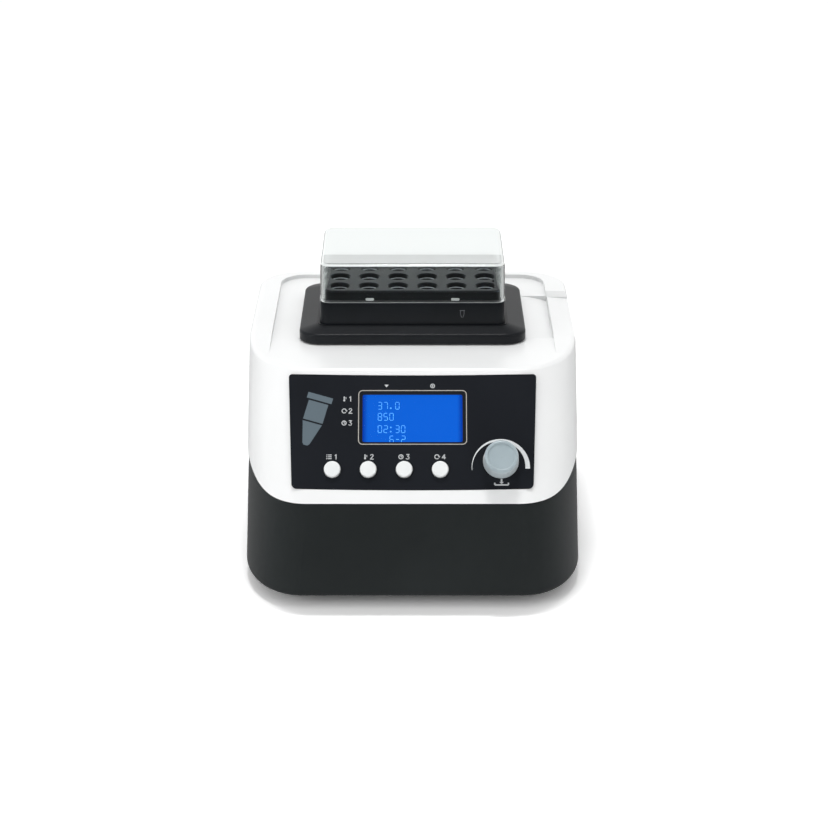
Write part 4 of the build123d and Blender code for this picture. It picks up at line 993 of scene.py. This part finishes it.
@dataclass
class ControlPanel:
    """The leaning panel: overlay, display, keys, knob and all of its printing.

    Places on the panel are across it from its middle, and up its slope from the front of the seam.
    """

    front_mm: float = -115.0
    seam_mm: float = 69.0
    lean_deg: float = 38.0
    face_mm: float = 0.2
    line_mm: float = 0.5
    glass_depth_mm: float = 3.0
    window_height_mm: float = 29.0
    display_up_mm: float = 51.8
    frame_mm: Point = (64.2, 33.4)
    frame_up_mm: float = 52.4
    frame_corner_mm: float = 2.6
    top_signs: tuple[tuple[Sign, Point, float], ...] = (
        (Sign.WANTED, (-15.4, 71.7), 2.6),
        (Sign.READ, (11.9, 71.7), 2.8),
    )
    side_signs: tuple[tuple[Sign, float], ...] = (
        (Sign.HEAT, 63.7),
        (Sign.SPIN, 56.3),
        (Sign.CLOCK, 48.9),
    )
    side_across_mm: float = -40.4
    side_gap_mm: float = 2.8
    key_signs: tuple[tuple[Sign, float], ...] = (
        (Sign.STEPS, -47.1),
        (Sign.HEAT, -26.0),
        (Sign.CLOCK, -4.9),
        (Sign.SPIN, 16.2),
    )
    key_aside_mm: float = 1.9
    key_up_mm: float = 28.3
    key_gap_mm: float = 3.1
    sign_mm: float = 3.0
    number_mm: float = 2.8
    number_line_mm: float = 0.55
    press_mm: Point = (52.1, 12.9)
    press_size_mm: float = 4.2
    press_line_mm: float = 0.8
    sweep_mm: Point = (51.8, 22.0)
    sweep_radius_mm: float = 17.1
    sweep_deg: Point = (186.0, -3.0)
    sweep_widths_mm: Point = (0.2, 2.8)
    sweep_steps: int = 72
    motif_mm: Point = (-58.6, 51.0)
    motif_deg: float = -16.0
    motif_parts: tuple[tuple[Point, ...], ...] = (
        ((-7.6, 12.0), (7.6, 12.0), (7.6, 15.6), (-7.6, 15.6)),
        ((-6.0, -1.0), (6.0, -1.0), (6.0, 11.0), (-6.0, 11.0)),
        ((-5.9, -2.0), (-2.2, -15.0), (-1.2, -16.2), (1.2, -16.2), (2.2, -15.0), (5.9, -2.0)),
    )
    pixel_mm: float = 0.43
    dot_share: float = 0.4
    dot_heights_mm: Point = (0.005, 0.025)
    digit_pixels: int = 8
    middle_row: int = 5
    rows: tuple[tuple[str, float, float], ...] = (
        ("37.0", -20.4, 60.3),
        ("850", -20.4, 53.5),
        ("02:30", -20.4, 45.9),
        ("6-2", -13.4, 39.6),
    )

    def plane(self, out_mm: float) -> Matrix:
        """Return the plane at a height over the casing's face: X across, Y up the slope, Z outwards.

        Args:
            out_mm: The height over the face.

        Returns:
            The matrix that takes places on the panel to the row frame.
        """
        lean = radians(self.lean_deg)
        across = Vector((1, 0, 0))
        up = Vector((0, sin(lean), cos(lean)))
        out = Vector((0, -cos(lean), sin(lean)))
        turn = Matrix((across, up, out)).transposed().to_4x4()
        foot = Vector((0, self.front_mm * MM, self.seam_mm * MM)) + out * out_mm * MM
        return Matrix.Translation(foot) @ turn

    def build(self) -> None:
        """Dress the panel's nodes and print it."""
        dress(PANEL_FILM, "panel_overlay")
        dress(WINDOW_RESIN, "display_window")
        dress(DISPLAY_HOLDER, "display_module", "button_switches")
        dress(DISPLAY, "display_glass")
        dress(CIRCUIT_LAMINATE, "control_board")
        dress(BUTTON_ABS, *[f"button_{i}" for i in range(1, len(self.key_signs) + 1)])
        dress(KNOB_PAINT, "knob")
        dress(ZINC_STEEL, "encoder_body", "encoder_plunger", "encoder_nut", "encoder_shaft", "board_screws")
        self.print_frame()
        self.print_signs()
        self.print_sweep()
        self.print_motif()
        self.light_digits()

    def print_frame(self) -> None:
        """Print the warm grey line round the display."""
        ink = Print(self.plane(self.face_mm))
        ink.frame_line((0, self.frame_up_mm), self.frame_mm, self.frame_corner_mm, self.line_mm)
        place("panel_display_line", ink.form, PALE_INK, Body.HOUSING, Slot.FILM)

    def print_signs(self) -> None:
        """Print the small signs over the display, beside it, over the keys and under the knob."""
        ink = Print(self.plane(self.face_mm))
        for sign, centre, size in self.top_signs:
            draw_sign(ink, sign, centre, size, self.line_mm)
        for number, (sign, up) in enumerate(self.side_signs, 1):
            self.number_sign(ink, sign, (self.side_across_mm, up), number, self.side_gap_mm)
        for number, (sign, key) in enumerate(self.key_signs, 1):
            self.number_sign(ink, sign, (key - self.key_aside_mm, self.key_up_mm), number, self.key_gap_mm)
        draw_sign(ink, Sign.PRESS, self.press_mm, self.press_size_mm, self.press_line_mm)
        place("panel_signs", ink.form, LABEL_INK, Body.HOUSING, Slot.FILM)

    def number_sign(self, ink: Print, sign: Sign, centre: Point, number: int, gap: float) -> None:
        """Print a sign with its number at the right.

        Args:
            ink: The printing that gets it.
            sign: Which sign it is.
            centre: The sign's centre.
            number: The number, from 1 to 4.
            gap: How far the number's left edge is from the sign's centre.
        """
        draw_sign(ink, sign, centre, self.sign_mm, self.line_mm)
        corner = (centre[0] + gap, centre[1] - self.number_mm / 2)
        ink.digit(number, corner, self.number_mm, self.number_line_mm)

    def print_sweep(self) -> None:
        """Print the white crescent that grows round the knob from left to right."""
        ink = Print(self.plane(self.face_mm))
        ink.arc(self.sweep_mm, self.sweep_radius_mm, *self.sweep_deg, self.sweep_widths_mm, self.sweep_steps)
        place("panel_knob_sweep", ink.form, WHITE_INK, Body.HOUSING, Slot.FILM)

    def print_motif(self) -> None:
        """Print a plain leaning sample tube, cap, barrel and cone, in slate blue at the panel's left end."""
        ink = Print(self.plane(self.face_mm))
        across, up = self.motif_mm
        along, aside = cos(radians(self.motif_deg)), sin(radians(self.motif_deg))
        for outline in self.motif_parts:
            ink.patch([(across + x * along - y * aside, up + x * aside + y * along) for x, y in outline])
        place("panel_tube_motif", ink.form, SLATE_INK, Body.HOUSING, Slot.FILM)

    def light_digits(self) -> None:
        """Set the display's plain numbers from single pixels, cut off at the window's lower edge."""
        low, high = self.dot_heights_mm
        ink = Print(self.plane(-self.glass_depth_mm), high, -low)
        bars = {
            "0": "abcdef",
            "2": "abged",
            "3": "abgcd",
            "5": "afgcd",
            "6": "afgedc",
            "7": "abc",
            "8": "abcdefg",
            "-": "g",
            ".": "p",
            ":": "pq",
        }
        spots: dict[str, list[tuple[int, int]]] = {
            "a": [(i, 10) for i in range(1, 5)],
            "b": [(5, i) for i in range(6, 10)],
            "c": [(5, i) for i in range(1, 5)],
            "d": [(i, 0) for i in range(1, 5)],
            "e": [(0, i) for i in range(1, 5)],
            "f": [(0, i) for i in range(6, 10)],
            "g": [(i, 5) for i in range(1, 5)],
            "p": [(1, 1), (2, 1), (1, 2), (2, 2)],
            "q": [(1, 7), (2, 7), (1, 8), (2, 8)],
        }
        lowest = self.display_up_mm - self.window_height_mm / 2
        dot = self.pixel_mm * self.dot_share
        corners = ((-dot, -dot), (dot, -dot), (dot, dot), (-dot, dot))
        for text, left, middle in self.rows:
            for number, sign in enumerate(text):
                for column, row in [spot for bar in bars[sign] for spot in spots[bar]]:
                    x = left + (number * self.digit_pixels + column) * self.pixel_mm
                    y = middle + (row - self.middle_row) * self.pixel_mm
                    if y > lowest:
                        ink.patch([(x + aside, y + up) for aside, up in corners])
        place("display_digits", ink.form, DIGIT_CRYSTAL, Body.HOUSING, Slot.DISPLAY)


@dataclass
class TubePlatform:
    """The orbiting platform: skirt, heated block, lid and what carries them."""

    spacing_mm: float = 18.0
    wells: tuple[int, int] = (6, 4)
    ledge_radii_mm: Point = (5.55, 6.15)
    ledge_depths_mm: Point = (3.08, 2.82)
    ring_half_mm: float = 0.03
    ring_steps: int = 40
    mark_in_mm: Point = (26.5, 14.3)
    mark_strokes: tuple[tuple[Point, Point, float], ...] = (
        ((-1.6, 2.4), (1.6, 2.4), 0.5),
        ((-1.1, 2.2), (-1.1, 0.0), 0.4),
        ((1.1, 2.2), (1.1, 0.0), 0.4),
        ((-1.1, 0.0), (-0.3, -2.2), 0.4),
        ((1.1, 0.0), (0.3, -2.2), 0.4),
    )

    def build(self) -> None:
        """Dress the platform, mark the block and lay a painted highlight on its wells' ledges."""
        dress(BLOCK_ANODISED, "tube_block")
        dress(SKIRT_NYLON, "platform_skirt")
        dress(LID_RESIN, "lid")
        # Painted highlight: the studs are white to stand in for their glints.
        dress(DETENT_GLINT_WHITE, "lid_detents")
        dress(TURNED_STEEL, "temperature_sensor", "crank_bearing", "upper_guide_bearings")
        dress(MILLED_PLATE, "heating_plate", "shaking_table")
        dress(HEATER_SILICONE, "heater_pad")
        dress(SPACER_LAMINATE, "insulation_board")
        dress(ZINC_STEEL, "block_screws")
        self.mark_block()
        # Painted highlight: pale rings on the wells' ledges stand in for their bright crescents.
        self.paint_ledge_highlights()

    def paint_ledge_highlights(self) -> None:
        """Lay a thin pale ring on the ledge inside each well's mouth, as a painted highlight."""
        low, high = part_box("tube_block")
        middle = (low + high) / 2
        columns, rows = self.wells
        form = bmesh.new()
        for column in range(columns):
            for row in range(rows):
                x = middle.x + (column - (columns - 1) / 2) * self.spacing_mm * MM
                y = middle.y + (row - (rows - 1) / 2) * self.spacing_mm * MM
                self.add_ring(form, (x, y, high.z))
        place("well_ledges", form, LEDGE_HIGHLIGHT_METAL, Body.PLATFORM, Slot.BLOCK)

    def add_ring(self, form: bmesh.types.BMesh, mouth: Place) -> None:
        """Add one well's ring, which slopes with its ledge.

        Args:
            form: The mesh that gets it.
            mouth: The middle of the well's mouth, in metres.
        """
        x, y, top = mouth
        loops: list[list[bmesh.types.BMVert]] = []
        for end, side in ((0, 1), (1, 1), (1, -1), (0, -1)):
            radius = self.ledge_radii_mm[end] * MM
            z = top + (side * self.ring_half_mm - self.ledge_depths_mm[end]) * MM
            loop: list[bmesh.types.BMVert] = []
            for step in range(self.ring_steps):
                angle = 2 * pi * step / self.ring_steps
                loop.append(form.verts.new((x + radius * cos(angle), y + radius * sin(angle), z)))
            loops.append(loop)
        for here, there in zip(loops, loops[1:] + loops[:1]):
            for i in range(self.ring_steps):
                j = (i + 1) % self.ring_steps
                form.faces.new((here[i], here[j], there[j], there[i]))

    def mark_block(self) -> None:
        """Mark the right of the block's front with a small plain tube sign."""
        low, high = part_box("tube_block")
        aside, down = self.mark_in_mm
        face = Matrix.Translation(Vector((high.x - aside * MM, low.y, high.z - down * MM)))
        turn = Matrix(((1, 0, 0), (0, 0, 1), (0, -1, 0))).transposed().to_4x4()
        ink = Print(face @ turn)
        for start, end, width in self.mark_strokes:
            ink.stroke(start, end, width)
        place("block_tube_mark", ink.form, ENGRAVED_INK, Body.PLATFORM, Slot.BLOCK)


@dataclass
class OrbitDrive:
    """The drive under the deck: motor, shaft, counterweight, guide cranks and what carries them."""

    guides: int = 3

    def build(self) -> None:
        """Dress the drive."""
        dress(MOTOR_PAINT, "drive_motor")
        dress(MILLED_PLATE, "chassis_plate", "bearing_housing")
        dress(MILLED_PLATE, *[f"guide_pillar_{i}" for i in range(1, self.guides + 1)])
        dress(TURNED_STEEL, "eccentric_shaft", "shaft_bearings", "lower_guide_bearings")
        dress(TURNED_STEEL, *[f"guide_crank_{i}" for i in range(1, self.guides + 1)])
        dress(TURNED_BRASS, "counterweight")
        dress(ZINC_STEEL, "drive_screws", "counterweight_screw", "chassis_pillars")


@dataclass
class RearPower:
    """The mains inlet and its switch at the back.

    The pins' ends are depths from the inlet's outer face. The rocker's pivot is given by its Y and Z,
    and the middle of a half by how far it lies out from the pivot and up or down from it.
    """

    pins_mm: tuple[Point, ...] = ((0.0, 2.0), (-7.0, -2.0), (7.0, -2.0))
    pin_size_mm: Point = (2.1, 4.1)
    pin_ends_mm: Point = (15.8, 5.45)
    pin_bevel_mm: float = 0.3
    pivot_mm: Point = (104.2, 44.0)
    tilt_deg: float = 9.0
    half_mm: Point = (6.7, 4.8)
    half_lean_deg: float = 15.2
    mark_radius_mm: float = 1.7
    ring_line_mm: float = 0.5
    bar_line_mm: float = 0.55

    def build(self) -> None:
        """Dress the inlet, the switch and the power board, and finish the pins and the rocker's marks."""
        dress(INLET_NYLON, "power_inlet", "rocker_frame")
        dress(ROCKER_ABS, "power_rocker")
        dress(CIRCUIT_LAMINATE, "power_board")
        dress(ZINC_STEEL, "inlet_screws")
        self.plate_pins()
        self.mark_rocker()

    def plate_pins(self) -> None:
        """Cover the inlet's three pins with plated metal."""
        low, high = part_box("power_inlet")
        middle = (low + high) / 2
        form = bmesh.new()
        deep, near = (high.y - end * MM for end in self.pin_ends_mm)
        for across, up in self.pins_mm:
            size = Vector((self.pin_size_mm[0] * MM, near - deep, self.pin_size_mm[1] * MM))
            where = Vector((middle.x + across * MM, (deep + near) / 2, middle.z + up * MM))
            matrix = Matrix.Translation(where) @ Matrix.Diagonal(size).to_4x4()
            bmesh.ops.create_cube(form, size=1.0, matrix=matrix)
        bmesh.ops.bevel(form, geom=form.edges[:], offset=self.pin_bevel_mm * MM, segments=2, affect="EDGES")
        place("inlet_pin_plating", form, PLATED_PIN, Body.HOUSING, Slot.INLET)

    def mark_rocker(self) -> None:
        """Print a bar on the rocker's lower half and a ring on its upper half."""
        low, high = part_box("power_rocker")
        middle = (low.x + high.x) / 2
        radius = self.mark_radius_mm
        for name, side in (("rocker_ring", 1), ("rocker_bar", -1)):
            half = Vector((self.half_mm[0], side * self.half_mm[1]))
            reach = Matrix.Rotation(radians(self.tilt_deg), 2) @ half
            lean = radians(self.tilt_deg - side * self.half_lean_deg)
            where = Vector((middle, (self.pivot_mm[0] + reach.x) * MM, (self.pivot_mm[1] + reach.y) * MM))
            turn = Matrix(((-1, 0, 0), (0, -sin(lean), cos(lean)), (0, cos(lean), sin(lean)))).transposed()
            ink = Print(Matrix.Translation(where) @ turn.to_4x4())
            if side > 0:
                ink.arc((0.0, 0.0), radius, 0.0, 360.0, (self.ring_line_mm, self.ring_line_mm))
            else:
                ink.stroke((0.0, -radius), (0.0, radius), self.bar_line_mm)
            place(name, ink.form, LABEL_INK, Body.ROCKER, Slot.ROCKER)


@dataclass(frozen=True)
class SoftLamp:
    """One flat lamp of the studio, in metres and watts."""

    name: str
    place: Place
    aim: Place
    size: Point
    watts: float

    def hang(self) -> None:
        """Hang the lamp at its place, turned to what it is aimed at."""
        lamp = bpy.data.lights.new(self.name, "AREA")
        lamp.shape = "RECTANGLE"
        lamp.size, lamp.size_y = self.size
        lamp.energy = self.watts
        box = bpy.data.objects.new(self.name, lamp)
        box.location = self.place
        box.rotation_euler = (Vector(self.aim) - Vector(self.place)).to_track_quat("-Z", "Y").to_euler()
        box.visible_camera = False
        bpy.context.scene.collection.objects.link(box)


@dataclass
class Studio:
    """The photograph's camera, plain soft light, and a white floor that keeps the shadow.

    The lamps are a long, thin strip overhead and a weak soft box low at each side of the camera.
    """

    pitch_deg: float = 22.3
    focal_px: float = 2058.0
    frame_px: float = 828.0
    axis_px: float = 412.55
    sensor_mm: float = 36.0
    eye_m: Place = (0.0, -1.2064, 0.5733)
    clip_m: Point = (0.05, 30.0)
    lamps: tuple[SoftLamp, ...] = (
        SoftLamp("overhead_strip", (-0.05, 0.14, 2.1), (-0.05, 0.0, 0.1), (0.38, 0.1), 17.5),
        SoftLamp("left_box", (-1.35, -1.2, 0.75), (0.0, 0.0, 0.1), (0.8, 0.8), 7.5),
        SoftLamp("right_box", (1.35, -1.2, 0.75), (0.0, 0.0, 0.1), (0.8, 0.8), 2.5),
    )
    ambient: float = 0.64
    front_gloss: float = 0.3
    front_reach: Point = (-0.6, 0.2)
    ceiling_gloss: float = 0.2
    ceiling_reach: Point = (0.48, 0.75)
    floor_half_m: float = 6.0
    floor_gloss: Point = (0.08, 0.4)
    gloss_reach_m: Point = (-0.25, -0.08)
    floor_gain: float = 1.32
    floor_tone: float = 0.95
    glass_extra: float = 0.2

    def build(self) -> None:
        """Set the camera, the lamps, the world and the floor."""
        self.set_camera()
        for lamp in self.lamps:
            lamp.hang()
        self.fill_world()
        self.lay_floor()

    def set_camera(self) -> None:
        """Put the camera where the photograph was taken from."""
        camera = bpy.data.cameras.new("photo_camera")
        camera.sensor_width = self.sensor_mm
        camera.lens = self.focal_px / self.frame_px * camera.sensor_width
        camera.shift_x = (self.frame_px / 2 - self.axis_px) / self.frame_px
        camera.clip_start, camera.clip_end = self.clip_m
        eye = bpy.data.objects.new("photo_camera", camera)
        eye.location = self.eye_m
        eye.rotation_euler = (radians(90 - self.pitch_deg), 0.0, 0.0)
        bpy.context.scene.collection.objects.link(eye)
        bpy.context.scene.camera = eye

    def shown_rays(self, tree: bpy.types.NodeTree) -> bpy.types.NodeSocket:
        """Make a socket that is one for what the eye, gloss or glass shows, and zero for light.

        Args:
            tree: The node tree that gets the nodes.

        Returns:
            The socket.
        """
        rays = add_node(tree, "ShaderNodeLightPath")
        eye, gloss, glass = (rays.outputs[f"Is {kind} Ray"] for kind in ("Camera", "Glossy", "Transmission"))
        seen = add_node(tree, "ShaderNodeMath", {"operation": "MAXIMUM"}, {0: eye, 1: gloss})
        shown = add_node(tree, "ShaderNodeMath", {"operation": "MAXIMUM"}, {0: seen.outputs[0], 1: glass})
        depth = rays.outputs["Diffuse Depth"]
        direct = add_node(tree, "ShaderNodeMath", {"operation": "LESS_THAN", 1: 0.5}, {0: depth})
        both = add_node(
            tree, "ShaderNodeMath", {"operation": "MULTIPLY"}, {0: shown.outputs[0], 1: direct.outputs[0]}
        )
        return both.outputs[0]

    def fill_world(self) -> None:
        """Light the object evenly, show plain white to the eye, and let gloss see a dimmer room in front."""
        world = bpy.data.worlds.new("white_studio")
        world.use_nodes = True
        tree = world.node_tree
        tree.nodes.clear()
        where = add_node(tree, "ShaderNodeTexCoord").outputs["Generated"]
        parts = add_node(tree, "ShaderNodeSeparateXYZ", None, {0: where})
        front = {
            "From Min": self.front_reach[0],
            "From Max": self.front_reach[1],
            "To Min": self.front_gloss,
            "To Max": 1.0,
        }
        room = add_node(tree, "ShaderNodeMapRange", front, {"Value": parts.outputs["Y"]})
        above = {
            "From Min": self.ceiling_reach[0],
            "From Max": self.ceiling_reach[1],
            "To Min": 1.0,
            "To Max": self.ceiling_gloss,
        }
        ceiling = add_node(tree, "ShaderNodeMapRange", above, {"Value": parts.outputs["Z"]})
        hall = add_node(
            tree, "ShaderNodeMath", {"operation": "MULTIPLY"}, {0: room.outputs[0], 1: ceiling.outputs[0]}
        )
        feeds = {"Value": self.shown_rays(tree), "To Max": hall.outputs[0]}
        strength = add_node(tree, "ShaderNodeMapRange", {"To Min": self.ambient}, feeds)
        sky = add_node(tree, "ShaderNodeBackground", {"Color": WHITE}, {"Strength": strength.outputs[0]})
        add_node(tree, "ShaderNodeOutputWorld", None, {"Surface": sky.outputs[0]})
        bpy.context.scene.world = world

    def paper_material(self) -> bpy.types.Material:
        """Make the floor's paper: white with its shadow to the eye, and a dim sheet where gloss reflects it.

        Returns:
            The material.
        """
        material = bpy.data.materials.new("white_floor")
        material.use_nodes = True
        tree = material.node_tree
        tree.nodes.clear()
        levels = {"To Min": self.floor_tone, "To Max": self.floor_gain}
        tone = add_node(tree, "ShaderNodeMapRange", levels, {"Value": self.shown_rays(tree)})
        shade = add_node(tree, "ShaderNodeCombineXYZ", None, {i: tone.outputs[0] for i in range(3)})
        paper = add_node(tree, "ShaderNodeBsdfDiffuse", None, {"Color": shade.outputs[0]})
        where = add_node(tree, "ShaderNodeTexCoord").outputs["Object"]
        depth = add_node(tree, "ShaderNodeSeparateXYZ", None, {0: where}).outputs["Y"]
        rays = add_node(tree, "ShaderNodeLightPath")
        brighter = {"operation": "MULTIPLY_ADD", 1: self.glass_extra, 2: self.floor_gloss[1]}
        behind = add_node(tree, "ShaderNodeMath", brighter, {0: rays.outputs["Is Transmission Ray"]})
        away = {
            "From Min": self.gloss_reach_m[0],
            "From Max": self.gloss_reach_m[1],
            "To Min": self.floor_gloss[0],
        }
        sheen = add_node(tree, "ShaderNodeMapRange", away, {"Value": depth, "To Max": behind.outputs[0]})
        dim = add_node(tree, "ShaderNodeEmission", {"Color": WHITE}, {"Strength": sheen.outputs[0]})
        gloss = rays.outputs["Is Glossy Ray"]
        face = add_node(tree, "ShaderNodeMixShader", None, {0: gloss, 1: paper.outputs[0], 2: dim.outputs[0]})
        add_node(tree, "ShaderNodeOutputMaterial", None, {"Surface": face.outputs[0]})
        return material

    def lay_floor(self) -> None:
        """Lay the white floor under the feet."""
        form = bmesh.new()
        bmesh.ops.create_grid(form, x_segments=1, y_segments=1, size=self.floor_half_m)
        mesh = bpy.data.meshes.new("studio_floor")
        form.to_mesh(mesh)
        form.free()
        mesh.materials.append(self.paper_material())
        floor = bpy.data.objects.new("studio_floor", mesh)
        bpy.context.scene.collection.objects.link(floor)


def main() -> None:
    """Build the studio and dress the shaker, one sub-assembly after the other."""
    logging.basicConfig(level=logging.INFO, format="%(message)s")
    bpy.context.scene.view_settings.view_transform = "Standard"
    Studio().build()
    Casing().build()
    ControlPanel().build()
    TubePlatform().build()
    OrbitDrive().build()
    RearPower().build()


if __name__ == "__main__":
    main()
